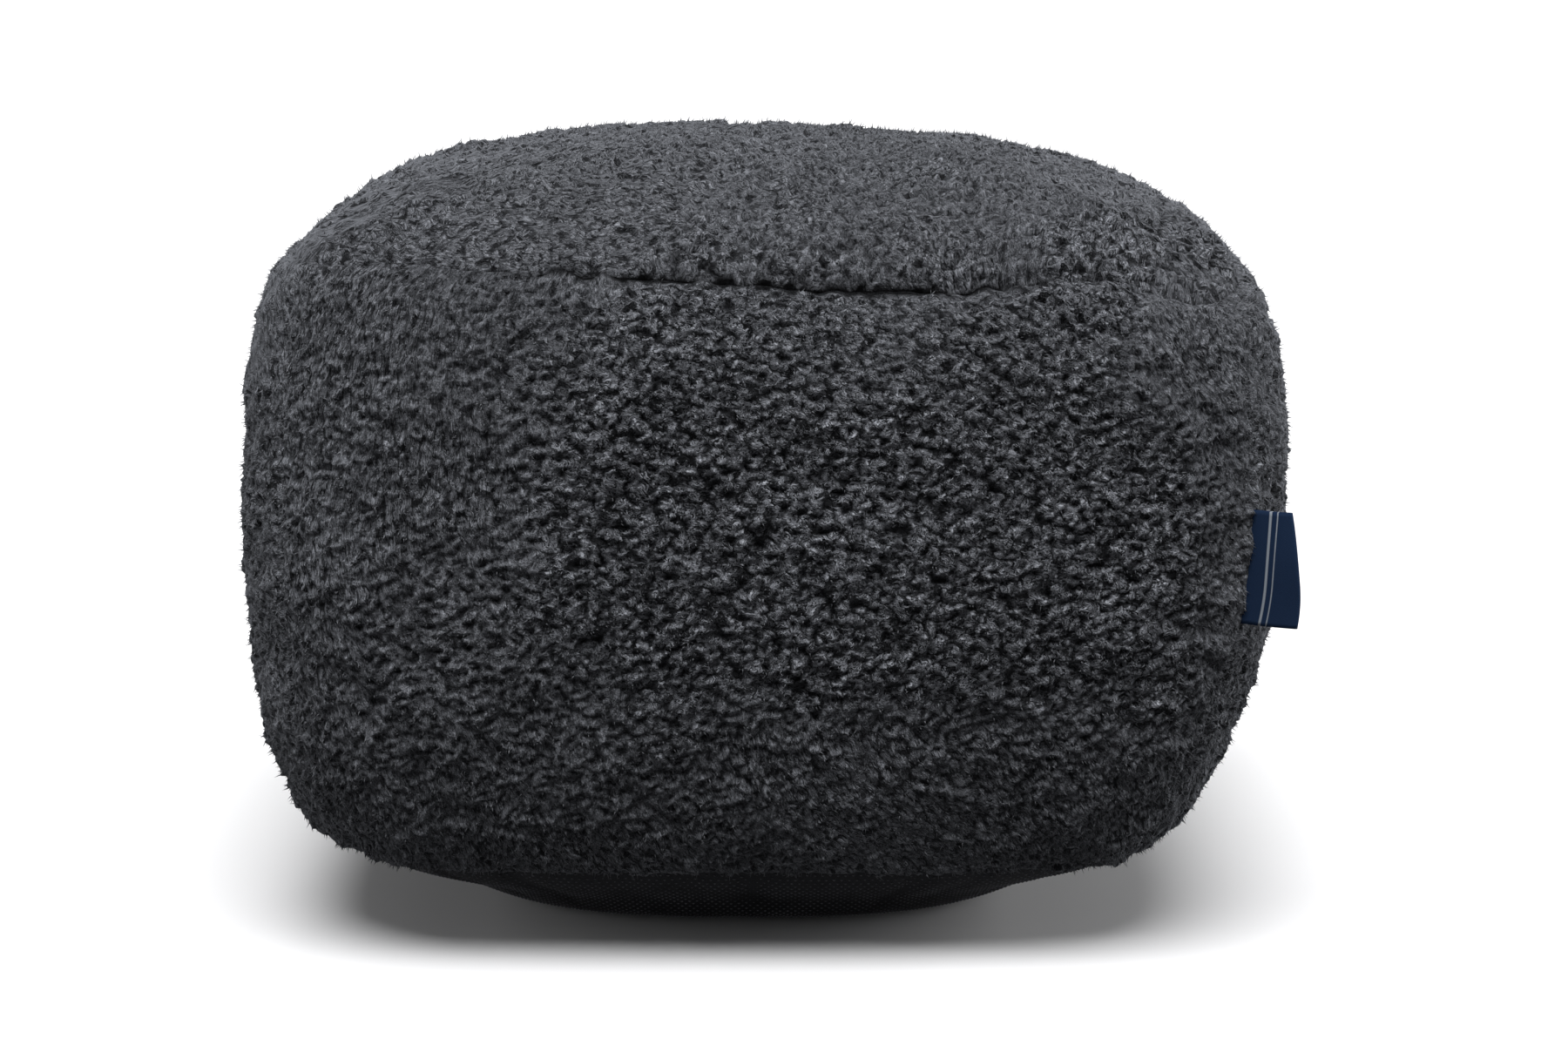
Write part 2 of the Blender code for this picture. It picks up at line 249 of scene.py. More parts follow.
def top_seam_depth(around):
    return TOP_SEAM_DEPTH * (1 + waves(around, SEAM_PULLS, "share"))


def corner_distance(level, around):
    """Metres along the skin to the nearest corner seam."""
    across = along_panel(around)[1]
    return (1 - np.abs(across)) * between_rows(level)[1]


def fold_depth(level, around):
    """How far all the folds sink the side panels."""
    half_width = between_rows(level)[1]
    total = 0 * level * around
    for fold in FOLDS:
        share = np.clip((level - fold.level_low) / (fold.level_top - fold.level_low), 0, 1)
        place = fold.around_low + (fold.around_top - fold.around_low) * share
        sideways = (around - place) * 2 * half_width
        total = total + fold.depth * np.sin(math.pi * share) ** 0.5 * bell(sideways / fold.half_width)
    return total


print("Fold depth on the front, near its right seam:", fold_depth(7.0, 0.94).round(4))


# %% Depths of the panels
def side_depth(level, around):
    """How far the side panels lie inside the skin."""
    depth = valley(from_seam(level, around, TOP_SEAM), top_seam_depth(around), TOP_SEAM_WIDTH)
    base = valley(from_seam(level, around, BASE_SEAM), BASE_SEAM_DEPTH, BASE_SEAM_WIDTH)
    corner = valley(corner_distance(level, around), CORNER_SEAM_DEPTH, CORNER_SEAM_WIDTH)
    return np.maximum(np.maximum(depth, base), corner) + fold_depth(level, around)


def top_depth(level, around):
    """The same for the top panel, less the soft ridges that run up from its corners."""
    seam = valley(from_seam(level, around, TOP_SEAM), top_seam_depth(around), TOP_SEAM_WIDTH)
    share = np.clip((level - TOP_SEAM) / (RIDGE_END - TOP_SEAM), 0, 1)
    height = by_corner(around, "ridge") * np.sin(math.pi * share) ** 0.7
    return seam - height * bell(corner_distance(level, around) / RIDGE_WIDTH)


def top_lining(level, around):
    """The underside of the top fleece, which thins to its sewn edge."""
    flattened = near_seam(level, around, TOP_SEAM, TOP_SEAM_WIDTH)
    thickness = FLEECE_EDGE + (FLEECE_THICKNESS - FLEECE_EDGE) * (1 - flattened)
    return top_depth(level, around) + thickness


def base_depth(level, around):
    """How far the base cloth is tucked in behind the fleece."""
    share = np.maximum(level - REST, 0) / (BASE_SEAM - REST)
    return BASE_TUCK * share ** 3 + 0 * around


def sunk(level, around, depth):
    """Points of the skin moved inwards by a depth at each point."""
    return skin(level, around) - outward(level, around) * np.asarray(depth)[..., None]


print("Seam valleys:", TOP_SEAM_DEPTH, CORNER_SEAM_DEPTH, BASE_SEAM_DEPTH, "folds:", len(FOLDS))

# %% [markdown]
# ## Shader node groups
# Fleece, base cloth and label each have fibres or threads at their own scale. A node group holds each effect
# once, with named inputs, and puts out only a mask and a height. The Principled shader stays in the material.
# Every pattern reads an attribute that is stored on the mesh, so that it follows the cloth.

# %% Small helpers for node trees
def place_node(tree, kind, settings=None, **inputs):
    """A shader node. Inputs are values or sockets: i0 is the first one, and an underscore stands for a space."""
    made = tree.nodes.new("ShaderNode" + kind)
    for key, value in (settings or {}).items():
        setattr(made, key, value)
    for key, value in inputs.items():
        by_number = key[0] == "i" and key[1:].isdigit()
        socket = made.inputs[int(key[1:]) if by_number else key.replace("_", " ")]
        if isinstance(value, bpy.types.NodeSocket):
            tree.links.new(value, socket)
        else:
            socket.default_value = value
    return made


def calculate(tree, operation, *values, kind="Math", **named):
    """The result of a Math node."""
    numbered = {f"i{number}": value for number, value in enumerate(values)}
    return place_node(tree, kind, {"operation": operation}, **numbered, **named).outputs[0]


def multiplied(tree, *values):
    return calculate(tree, "MULTIPLY", *values)


def weighted(tree, value, weight, added):
    return calculate(tree, "MULTIPLY_ADD", value, weight, added)


def vectors(tree, operation, *values):
    """The result of a Vector Math node."""
    return calculate(tree, operation, *values, kind="VectorMath")


def scaled(tree, vector, scale):
    return calculate(tree, "SCALE", vector, kind="VectorMath", Scale=scale)


def ranged(tree, value, start=0.0, end=1.0, low=0.0, high=1.0, smooth=False):
    """A value carried from between start and end to between low and high, and kept there."""
    settings = {"interpolation_type": "SMOOTHSTEP" if smooth else "LINEAR"}
    limits = {"From_Min": start, "From_Max": end, "To_Min": low, "To_Max": high}
    return place_node(tree, "MapRange", settings, Value=value, **limits).outputs[0]


print("Helpers that calculate are ready")

# %% Helpers for patterns, groups and finishes
SPECULAR, SHEEN_ROUGHNESS = 0.04, 0.45


def noise(tree, place, scale, detail, dimensions="2D", output="Fac", **more):
    settings = {"noise_dimensions": dimensions}
    made = place_node(tree, "TexNoise", settings, Vector=place, Scale=scale, Detail=detail, **more)
    return made.outputs[output]


def solid_noise(tree, scale, detail):
    """Noise that runs through the whole object."""
    return noise(tree, place_node(tree, "TexCoord").outputs["Object"], scale, detail, "3D")


def stored(tree, name, output="Fac"):
    """What the mesh stores under a name."""
    return place_node(tree, "Attribute", {"attribute_name": name}).outputs[output]


def parts_of(tree, vector):
    return place_node(tree, "SeparateXYZ", Vector=vector).outputs


def from_group(tree, group, **inputs):
    return place_node(tree, "Group", {"node_tree": group}, **inputs).outputs


def blended_colours(tree, value, *stops):
    """A colour for each value. Stops are places with their colours."""
    made = place_node(tree, "ValToRGB", Fac=value)
    elements = made.color_ramp.elements
    for element, stop in ((elements[0], stops[0]), (elements[1], stops[-1])):
        element.position, element.color = stop
    for place, colour in stops[1:-1]:
        elements.new(place).color = colour
    return made.outputs["Color"]


def raised(tree, height, strength, distance):
    return place_node(tree, "Bump", Strength=strength, Distance=distance, Height=height).outputs[0]


def feed(tree, target, **sockets):
    """Links each socket into the input of that name."""
    for name, socket in sockets.items():
        tree.links.new(socket, target.inputs[name.replace("_", " ")])


def node_group(name, takes, gives):
    """An empty group. It takes vectors where None stands, and else numbers with a default, and gives numbers."""
    made = bpy.data.node_groups.new(name, "ShaderNodeTree")
    for label, default in takes.items():
        kind = "NodeSocketVector" if default is None else "NodeSocketFloat"
        socket = made.interface.new_socket(label, in_out="INPUT", socket_type=kind)
        if default is not None:
            socket.default_value = default
    for label in gives:
        made.interface.new_socket(label, in_out="OUTPUT", socket_type="NodeSocketFloat")
    return made, made.nodes.new("NodeGroupInput").outputs, made.nodes.new("NodeGroupOutput")


def finish(name, roughness, sheen=0.0, sheen_colour=(1, 1, 1)):
    """A material with an empty Principled shader, whose even values are set on its own sockets."""
    made = bpy.data.materials.new(name)
    made.use_nodes = True
    shader = made.node_tree.nodes["Principled BSDF"]
    shader.inputs["Roughness"].default_value = roughness
    shader.inputs["Specular IOR Level"].default_value = SPECULAR
    shader.inputs["Sheen Weight"].default_value = sheen
    shader.inputs["Sheen Roughness"].default_value = SHEEN_ROUGHNESS
    shader.inputs["Sheen Tint"].default_value = (*sheen_colour, 1)
    return made, made.node_tree, shader


print("Helpers that finish are ready")

# %% Group: fine fibres that run along a lock
def fibre_streaks_group():
    takes_these = {"Strand": None, "Along": 0.32, "Across": 1.25}
    group, takes, gives = node_group("fibre_streaks", takes_these, ["Streak", "Height"])
    stretch = place_node(group, "CombineXYZ", X=takes["Along"], Y=takes["Across"], Z=0.0).outputs[0]
    stretched = vectors(group, "MULTIPLY", takes["Strand"], stretch)
    fine = noise(group, stretched, 1.0, 3.0, Roughness=0.65)
    coarse = noise(group, stretched, 0.35, 1.0)
    both = calculate(group, "ADD", fine, coarse)
    feed(group, gives, Streak=ranged(group, both, 0.80, 1.22), Height=both)
    return group


STREAKS = fibre_streaks_group()
print("Group:", STREAKS.name)

# %% [markdown]
# ### Tufts
# Seen close, a lock is a bundle of smaller tufts, and each tuft is a fan of fibres whose bright tip hides the
# dark root of the next one. Modelling every tuft would take many millions of faces, so the finish draws them,
# with painted shade at their roots and between them and a painted highlight at their tips. A Voronoi texture
# splits the cloth into cells and knows the middle of each. A place is measured from that middle and turned the
# way the pile lies, which tells root from tip, and a noise stretched along it makes the fibres.
# A small random pull comes first, so that the cells get ragged ends.

# %% Group: tufts that overlap like scales
WARP_SCALE, RAGGED_SCALE = 190.0, 900.0
COMBED_SPREAD, CURLED_SPREAD = 0.6, 5.0
HAIR_BEND, HAIR_AHEAD, HAIR_ASIDE, HAIR_SHIFT = 0.7, 1.5, 9.0, 90.0
HAIR_GAP, HAIR_BRIGHT = 0.42, 0.59


def pulled_places(group, takes):
    """Places on the cloth, pulled about at random and along the pile, which makes the cells ragged."""
    warp = noise(group, takes["Sheet"], WARP_SCALE, 2.0, output="Color")
    swirled = scaled(group, vectors(group, "SUBTRACT", warp, (0.5, 0.5, 0.5)), takes["Swirl"])
    ragged = calculate(group, "SUBTRACT", noise(group, takes["Sheet"], RAGGED_SCALE, 1.0), 0.5)
    combed = scaled(group, takes["Lie"], multiplied(group, ragged, takes["Combed"]))
    return vectors(group, "ADD", takes["Sheet"], vectors(group, "ADD", swirled, combed))


def in_tuft(group, takes, place, middle, random):
    """How far ahead of the middle of its tuft a place is, and how far aside, in widths of a tuft."""
    in_cell = scaled(group, vectors(group, "SUBTRACT", place, middle), takes["Tufts"])
    lie = parts_of(group, takes["Lie"])
    off = calculate(group, "SUBTRACT", random, 0.5)
    spread = ranged(group, takes["Curl"], 0.1, 1.0, COMBED_SPREAD, CURLED_SPREAD)
    heading = weighted(group, off, spread, calculate(group, "ARCTAN2", lie["Y"], lie["X"]))
    settings = {"rotation_type": "Z_AXIS", "invert": True}
    local = parts_of(group, place_node(group, "VectorRotate", settings, Vector=in_cell, Angle=heading).outputs[0])
    return local["X"], local["Y"]


def tuft_hair(group, ahead, aside, random):
    """Noise stretched into fibres that run ahead and bend a little, different in each tuft."""
    bent = weighted(group, multiplied(group, ahead, ahead), HAIR_BEND, aside)
    along = weighted(group, ahead, HAIR_AHEAD, multiplied(group, random, HAIR_SHIFT))
    strand = place_node(group, "CombineXYZ", X=along, Y=multiplied(group, bent, HAIR_ASIDE)).outputs[0]
    return noise(group, strand, 1.0, 3.0, Roughness=0.7, Distortion=0.4)


def tufts_group():
    takes_these = {"Sheet": None, "Lie": None, "Curl": 0.5, "Tufts": 250.0, "Swirl": 0.0065, "Combed": 0.0024}
    group, takes, gives = node_group("overlapping_tufts", takes_these, ["Shade", "Height", "Fibre"])
    place = pulled_places(group, takes)
    flat = {"voronoi_dimensions": "2D"}
    cell = place_node(group, "TexVoronoi", flat, Vector=place, Scale=takes["Tufts"]).outputs
    random = parts_of(group, cell["Color"])
    ahead, aside = in_tuft(group, takes, place, cell["Position"], random["X"])
    hair = tuft_hair(group, ahead, aside, random["Z"])
    fibre = ranged(group, hair, HAIR_GAP, HAIR_BRIGHT)

    # Painted shade and highlight: each tuft is lit at its tip and dark at its root, and the pits between tufts are
    # dark.
    tip = ranged(group, weighted(group, hair, 0.6, ahead), -0.30, 0.42, smooth=True)
    inside = ranged(group, weighted(group, hair, -0.3, cell["Distance"]), 0.62, 0.34, smooth=True)
    squared = multiplied(group, cell["Distance"], cell["Distance"])
    height = weighted(group, squared, -1.3, multiplied(group, ahead, 0.55))
    height = weighted(group, fibre, 0.18, height)
    height = weighted(group, random["Y"], 0.35, height)
    feed(group, gives, Shade=multiplied(group, tip, inside), Height=height, Fibre=fibre)
    return group


TUFTS = tufts_group()
print("Group:", TUFTS.name)

# %% Group: plain woven threads
def woven_group():
    group, takes, gives = node_group("woven_threads", {"Cloth": None, "Threads": 2.0}, ["Thread", "Height"])
    cloth = scaled(group, takes["Cloth"], takes["Threads"])
    places = parts_of(group, cloth)
    across, along = (
        calculate(group, "SINE", multiplied(group, places[axis], math.tau)) for axis in ("X", "Y")
    )
    height = calculate(group, "ADD", multiplied(group, across, along), noise(group, cloth, 0.8, 2.0, "3D"))
    feed(group, gives, Thread=ranged(group, height, -0.6, 1.6), Height=height)
    return group


WOVEN = woven_group()
print("Group:", WOVEN.name)

# %% [markdown]
# ## The fleece finish
# Teddy fleece is matt. Between the locks it is nearly black, because light that gets in doesn't come out, and
# at the tips single fibres catch the light. The colour paints that shade and highlight: it follows the height in
# the pile, which each mesh stores as the attribute `tip`, and is multiplied by the fibre streaks, the painted
# shade of the tufts, a painted shade beside each lock and a random tint for each lock. Curled pile has large tufts
# that point any way, and combed pile has small ones that follow its lie: both are made, and the attribute `curl`
# mixes them. Seen edge-on, fleece looks paler and hazy, because only the tips of its fibres show there, and Layer
# Weight paints that sheen into the colour.

# %% Fleece
MM = 1000.0
# Colours by height in the pile: painted shade at the roots and painted highlight at the tips.
PILE_DARK = (0.0124, 0.0128, 0.0140, 1)
PILE_MIDDLE = (0.0475, 0.0494, 0.0548, 1)
PILE_TIP = (0.0705, 0.0734, 0.0811, 1)
ROOT_TIP = 0.12
SHEEN_COLOUR = (0.62, 0.65, 0.72)
ByCurl = namedtuple("ByCurl", "combed curled")
SHADE_LOW, SHADE_HIGH = ByCurl(0.32, 0.08), ByCurl(1.35, 1.75)
FIBRE_LOW, FIBRE_HIGH = ByCurl(0.35, 0.04), ByCurl(1.85, 2.85)
RELIEF, RELIEF_DEPTH = ByCurl(0.40, 1.00), 0.0024
COMBED_TUFTS = {"Curl": 0.40, "Tufts": 350.0, "Swirl": 0.0038, "Combed": 0.0026}
# Painted sheen: where fleece is seen edge-on, its shade is mixed towards a pale value.
PAINTED_SHEEN_START, PAINTED_SHEEN_SHARE, PAINTED_SHEEN_SHADE = 0.64, 0.95, 2.5


def pile_tufts(tree, curl):
    """Shade, fibre and height of the tufts: small combed ones, large curled ones, and a mix between."""
    lie, sheet, flow = (stored(tree, name, "Vector") for name in ("lie", "sheet", "flow"))
    large = from_group(tree, TUFTS, Sheet=sheet, Lie=lie, Curl=curl)
    small = from_group(tree, TUFTS, Sheet=flow, Lie=(1, 0, 0), **COMBED_TUFTS)
    share = ranged(tree, curl, 0.40, 0.78, smooth=True)
    for name, part in (("Shade", 1.0), ("Fibre", 1.0), ("Height", 0.7)):
        lessened = multiplied(tree, small[name], part)
        yield place_node(tree, "Mix", Factor=share, i2=lessened, i3=large[name]).outputs[0]


def add_painted_sheen(tree, shade, tip):
    """Painted sheen: the shade, made pale where fleece is seen edge-on, apart from the backing."""
    edge_on = place_node(tree, "LayerWeight", Blend=0.5).outputs["Facing"]
    painted_sheen = ranged(tree, edge_on, PAINTED_SHEEN_START, 1.0, 0.0, PAINTED_SHEEN_SHARE, smooth=True)
    painted_sheen = multiplied(tree, painted_sheen, calculate(tree, "GREATER_THAN", tip, ROOT_TIP))
    return place_node(tree, "Mix", Factor=painted_sheen, i2=shade, i3=PAINTED_SHEEN_SHADE).outputs[0]


def fleece_finish():
    made, tree, shader = finish("teddy_pile", 0.92, 0.05, SHEEN_COLOUR)
    strand = stored(tree, "strand", "Vector")
    tip, tint, curl = (stored(tree, name) for name in ("tip", "tint", "curl"))
    shade_low, shade_high, fibre_low, fibre_high, relief = (
        ranged(tree, curl, 0.1, 1.0, pair.combed, pair.curled)
        for pair in (SHADE_LOW, SHADE_HIGH, FIBRE_LOW, FIBRE_HIGH, RELIEF)
    )
    streaks = from_group(tree, STREAKS, Strand=strand)
    tuft_shade, tuft_fibre, tuft_height = pile_tufts(tree, curl)
    aside = calculate(tree, "ABSOLUTE", parts_of(tree, strand)["Z"])
    # Painted shade: the colour darkens beside each lock, and at the roots of the pile and in the crease, where the
    # tip is low.
    shade_beside_lock = ranged(tree, aside, 0.65, 1.05, 1.0, 0.5, smooth=True)

    shade = ranged(tree, tip, 0.0, ROOT_TIP, 0.0, shade_beside_lock, smooth=True)
    for more in (
        ranged(tree, streaks["Streak"], low=0.7, high=1.3),
        ranged(tree, tuft_fibre, low=fibre_low, high=fibre_high),
        ranged(tree, tuft_shade, low=shade_low, high=shade_high),
        ranged(tree, tint, low=0.90, high=1.10),
        ranged(tree, solid_noise(tree, 14.0, 2.0), 0.3, 0.7, 0.85, 1.12),
    ):
        shade = multiplied(tree, shade, more)
    # Painted shade and highlight: dark at the roots of the pile, pale at its tips.
    depth = blended_colours(tree, tip, (0.05, PILE_DARK), (0.40, PILE_MIDDLE), (1.00, PILE_TIP))

    height = calculate(tree, "ADD", multiplied(tree, streaks["Height"], 0.4), tuft_height)
    height = weighted(tree, multiplied(tree, aside, aside), -0.6, height)
    feed(
        tree, shader,
        Base_Color=scaled(tree, depth, add_painted_sheen(tree, shade, tip)), Normal=raised(tree, height, relief, RELIEF_DEPTH),
    )
    return made


FLEECE = fleece_finish()
print("Finish:", FLEECE.name)

# %% [markdown]
# ## The filled form under the pile
# The body and the top panel are closed, crowned forms whose sides pull in at the seams. They are lofted from
# rings of the skin, a pile's depth inside it, and get the gentle lumps that loose beads press into the cloth.
# The top panel keeps its own underside, so that it is a cloth of fleece and not a lid.

# %% Meshes from arrays
WAVES = 20
Drift = namedtuple("Drift", "wavelength seed")


def piece_from(name, points, faces, material):
    """A smooth-shaded object from arrays of points and of faces with equally many corners."""
    points = np.asarray(points, dtype=np.float32)
    faces = np.asarray(faces, dtype=np.int32)
    mesh = bpy.data.meshes.new(name)
    mesh.vertices.add(len(points))
    mesh.vertices.foreach_set("co", points.ravel())
    mesh.loops.add(faces.size)
    mesh.loops.foreach_set("vertex_index", faces.ravel())
    mesh.polygons.add(len(faces))
    mesh.polygons.foreach_set("loop_start", np.arange(0, faces.size, faces.shape[1], dtype=np.int32))
    mesh.update(calc_edges=True)
    mesh.validate()
    mesh.shade_smooth()
    mesh.materials.append(material)
    made = bpy.data.objects.new(name, mesh)
    bpy.context.scene.collection.objects.link(made)
    return made


def store(piece, name, values, domain="POINT"):
    """Keeps a number or a vector for each vertex, face or face corner, under a name that the finishes read."""
    values = np.asarray(values, dtype=np.float32)
    kind, column = ("FLOAT", "value") if values.ndim == 1 else ("FLOAT_VECTOR", "vector")
    piece.data.attributes.new(name, kind, domain).data.foreach_set(column, values.ravel())


def band(low, high, count):
    """Triangles between two rings with as many points, whose first points have these numbers."""
    j = np.arange(count)
    k = (j + 1) % count
    return [np.stack([low + j, low + k, high + k], axis=1), np.stack([low + j, high + k, high + j], axis=1)]


def ring_faces(rings):
    """Triangles that close a first pole, rings of equal count and a last pole."""
    count = len(rings[1])
    j = np.arange(count)
    k = (j + 1) % count
    starts = [1 + count * ring for ring in range(len(rings) - 2)]
    parts = [np.stack([0 * j, 1 + k, 1 + j], axis=1)]
    for low, high in zip(starts, starts[1:]):
        parts += band(low, high, count)
    last = starts[-1]
    parts.append(np.stack([last + j, last + k, 0 * j + last + count], axis=1))
    return np.concatenate(parts)


def pole(level, depth):
    """The one point of the skin on its axis at the floor or at the peak, moved inwards by a depth."""
    height, _, _, _, shift = between_rows(level)
    inwards = 1 if level < BASE_SEAM else -1
    return np.array([[shift, 0, height + leaned(shift, height) + inwards * depth]])


def drift(points, kind):
    """Smooth random numbers, mostly between -1 and 1, that change over a wavelength: a sum of sine waves."""
    own_dice = np.random.default_rng(kind.seed)
    total = np.zeros(len(points))
    for _ in range(WAVES):
        direction = own_dice.normal(size=3)
        direction *= math.tau / kind.wavelength * own_dice.uniform(0.7, 1.4) / np.linalg.norm(direction)
        total += np.sin(points @ direction + own_dice.uniform(0, math.tau))
    return total / math.sqrt(WAVES)


print("Smooth noise at two points:", drift(np.array([[0.0, 0, 0], [0.1, 0, 0]]), Drift(0.05, 1)).round(2))

# %% The backing of the pile
PILE_DEPTH = 0.0052
LUMP, SMALL_LUMP_SHARE = 0.0009, 0.6
LARGE_LUMPS, SMALL_LUMPS = Drift(0.045, 11), Drift(0.018, 12)


def pile_room(level, around):
    """Depth of the pile at each place: full on the open cloth and nothing in the top and base seams."""
    top = near_seam(level, around, TOP_SEAM, TOP_SEAM_WIDTH)
    base = near_seam(level, around, BASE_SEAM, BASE_SEAM_WIDTH)
    return PILE_DEPTH * (1 - np.maximum(top, base))


def backing(level, around):
    """The cloth that the pile stands on."""
    room = pile_room(level, around)
    depth = np.where(level < TOP_SEAM, side_depth(level, around), top_depth(level, around))
    cloth = sunk(level, around, depth + room)
    lumps = drift(cloth, LARGE_LUMPS) + SMALL_LUMP_SHARE * drift(cloth, SMALL_LUMPS)
    return cloth + outward(level, around) * (LUMP * lumps * room / PILE_DEPTH)[..., None]


print("Room for the pile in the middle of the front:", pile_room(LEVEL["mid_side"], 0.5))

# %% The body and the top
BODY_COLUMNS, TOP_COLUMNS = 56, 48
EVEN_SHARE, EASED_SHARE = 0.55, 0.45
SIDE_RINGS, TOP_RINGS = 40, 26
UNDER_LEVELS = (1.0, 1.45, 1.9, 2.35, 2.75, BASE_SEAM - SEAM_SLIT)
LINING_LEVELS = (TOP_SEAM + SEAM_SLIT, 9.2, 9.45, 9.75, 10.1, 10.55, 11.05, 11.6, 12.15, 12.65)


def columns(per_panel):
    """Places around, a little closer together at the corner seams."""
    even = np.arange(per_panel) / per_panel
    eased = EVEN_SHARE * even + EASED_SHARE * (0.5 - 0.5 * np.cos(math.pi * even))
    return np.concatenate([panel + eased for panel in range(len(PANELS))])


def under_base(level, around):
    """Just above the base cloth."""
    return base_depth(level, around) + BASE_THICKNESS + GAP


def make_form(name, rings, flip=False):
    """A closed form from rings of points, with the attributes of a backing on which the strands run any way."""
    points, faces = np.concatenate(rings).astype(np.float32), ring_faces(rings)
    made = piece_from(name, points, faces[:, ::-1] if flip else faces, FLEECE)
    count = len(points)
    # The tip at the roots gives the backing the painted shade of the pile's roots.
    for attribute, values in (
        ("strand", points * (MM, MM, 0)), ("tip", np.full(count, ROOT_TIP)), ("tint", np.full(count, 0.5)),
        ("curl", np.full(count, 0.5)), ("lie", np.tile([0.0, -1, 0], (count, 1))),
        ("sheet", points + (7, 0, 0)), ("flow", points + (7, 0, 0)),
    ):
        store(made, attribute, values)
    return made


def body_rings(around):
    yield pole(0, BASE_THICKNESS + GAP)
    for level in UNDER_LEVELS:
        yield sunk(level, around, under_base(level, around))
    yield sunk(BASE_SEAM + SEAM_SLIT, around, under_base(BASE_SEAM, around))
    for level in np.linspace(BASE_SEAM + SEAM_SLIT, TOP_SEAM - SEAM_SLIT, SIDE_RINGS):
        yield backing(level, around)
    yield sunk(TOP_SEAM - SEAM_SLIT, around, top_lining(TOP_SEAM, around) + GAP)
    for level in LINING_LEVELS:
        yield sunk(level, around, top_lining(level, around) + GAP)
    yield pole(PEAK, FLEECE_THICKNESS + GAP)


def top_rings(around):
    yield pole(PEAK, PILE_DEPTH)
    for level in PEAK - (PEAK - TOP_SEAM - SEAM_SLIT) * np.linspace(0.02, 1, TOP_RINGS) ** 1.1:
        yield backing(level, around)
    for level in LINING_LEVELS:
        yield sunk(level, around, top_lining(level, around))
    yield pole(PEAK, FLEECE_THICKNESS)


body = make_form("fleece_body", list(body_rings(columns(BODY_COLUMNS))))
top = make_form("fleece_top", list(top_rings(columns(TOP_COLUMNS))), flip=True)
print("Forms:", len(body.data.polygons), "and", len(top.data.polygons), "triangles")

# %% [markdown]
# ## Places on a panel
# Each panel is worked as a flat sheet, with u from 0 to 1 across it and v from 0 to 1 up it. A side panel runs
# from seam to seam. The top panel is a square of which each ring round the middle is one ring of the skin.

# %% From a panel to the skin
TOP = len(PANELS)
SIDE_LEVELS, TOP_LEVELS = np.linspace(BASE_SEAM, TOP_SEAM, 300), np.linspace(PEAK, TOP_SEAM, 300)
TOP_SPREAD = between_rows(TOP_LEVELS)[1] / between_rows(TOP_SEAM)[1]
NEAREST_MIDDLE = 0.003


def lengths_along(points):
    return np.concatenate([[0], np.cumsum(np.linalg.norm(np.diff(points, axis=0), axis=1))])


SIDE_CLIMB = lengths_along(skin(SIDE_LEVELS, 0.5))
SIDE_CLIMB = SIDE_CLIMB / SIDE_CLIMB[-1]


def on_panel(panel, u, v):
    """Level and place around, for places on a side panel (0 to 3) or on the top panel (TOP)."""
    if panel != TOP:
        return np.interp(v, SIDE_CLIMB, SIDE_LEVELS), panel + u
    s, t = 2 * u - 1, 2 * v - 1
    far = np.maximum(np.maximum(np.abs(s), np.abs(t)), NEAREST_MIDDLE)
    quarter = np.select([-t >= np.abs(s), s >= np.abs(t), t >= np.abs(s)], [0, 1, 2], 3)
    across = np.select([quarter == 0, quarter == 1, quarter == 2], [s, t, -s], -t) / far
    return np.interp(far, TOP_SPREAD, TOP_LEVELS), quarter + (across + 1) / 2


print("Middle of the front panel is level and place", [float(n) for n in on_panel(0, 0.5, 0.5)])

# %% [markdown]
# ## Which way the pile lies
# Where nothing has brushed it, the pile stands in tight random curls. Elsewhere it has been stroked flat, and
# its locks are longer, thinner and lie side by side. A table lists the stroked places: where each is on its
# panel, from 0 to 1 across and up, how far it reaches, the way it lies in degrees from the panel's right, and
# how curly it stays. Between them, smooth noise decides.

# %% The lie of the pile
Nap = namedtuple("Nap", "panel across up reach_across reach_up angle curl")
NAPS = (
    Nap(0, 0.54, 0.62, 0.28, 0.32, -60, 1.00),
    Nap(0, 0.80, 0.52, 0.12, 0.22, -50, 0.95),
    Nap(0, 0.72, 0.20, 0.20, 0.15, -28, 0.12),
    Nap(0, 0.24, 0.26, 0.17, 0.24, -85, 0.50),
    Nap(0, 0.12, 0.80, 0.14, 0.22, -125, 0.35),
    Nap(0, 0.04, 0.45, 0.05, 0.40, -100, 0.40),
    Nap(0, 0.96, 0.55, 0.05, 0.45, -75, 0.45),
    Nap(1, 0.30, 0.60, 0.25, 0.30, -60, 0.75),
    Nap(1, 0.75, 0.30, 0.25, 0.25, -35, 0.20),
    Nap(2, 0.30, 0.35, 0.25, 0.25, -110, 0.25),
    Nap(2, 0.65, 0.65, 0.28, 0.25, -70, 1.00),
    Nap(3, 0.40, 0.70, 0.30, 0.22, -115, 0.30),
    Nap(3, 0.60, 0.30, 0.25, 0.25, -80, 0.85),
    Nap(TOP, 0.20, 0.16, 0.24, 0.14, 35, 0.15),
    Nap(TOP, 0.30, 0.55, 0.18, 0.24, 15, 0.25),
    Nap(TOP, 0.60, 0.24, 0.22, 0.16, -5, 0.60),
    Nap(TOP, 0.84, 0.60, 0.16, 0.26, -45, 0.35),
)
LOOSE_WEIGHT = 0.30
LOOSE_ANGLE, ANGLE_SWING, ANGLE_DRIFT = math.radians(-60), 0.6, Drift(0.16, 21)
LOOSE_CURL, CURL_SWING, CURL_DRIFT = 0.55, 0.30, Drift(0.09, 22)
EDGE_SWING, EDGE_DRIFT = 0.15, Drift(0.05, 23)


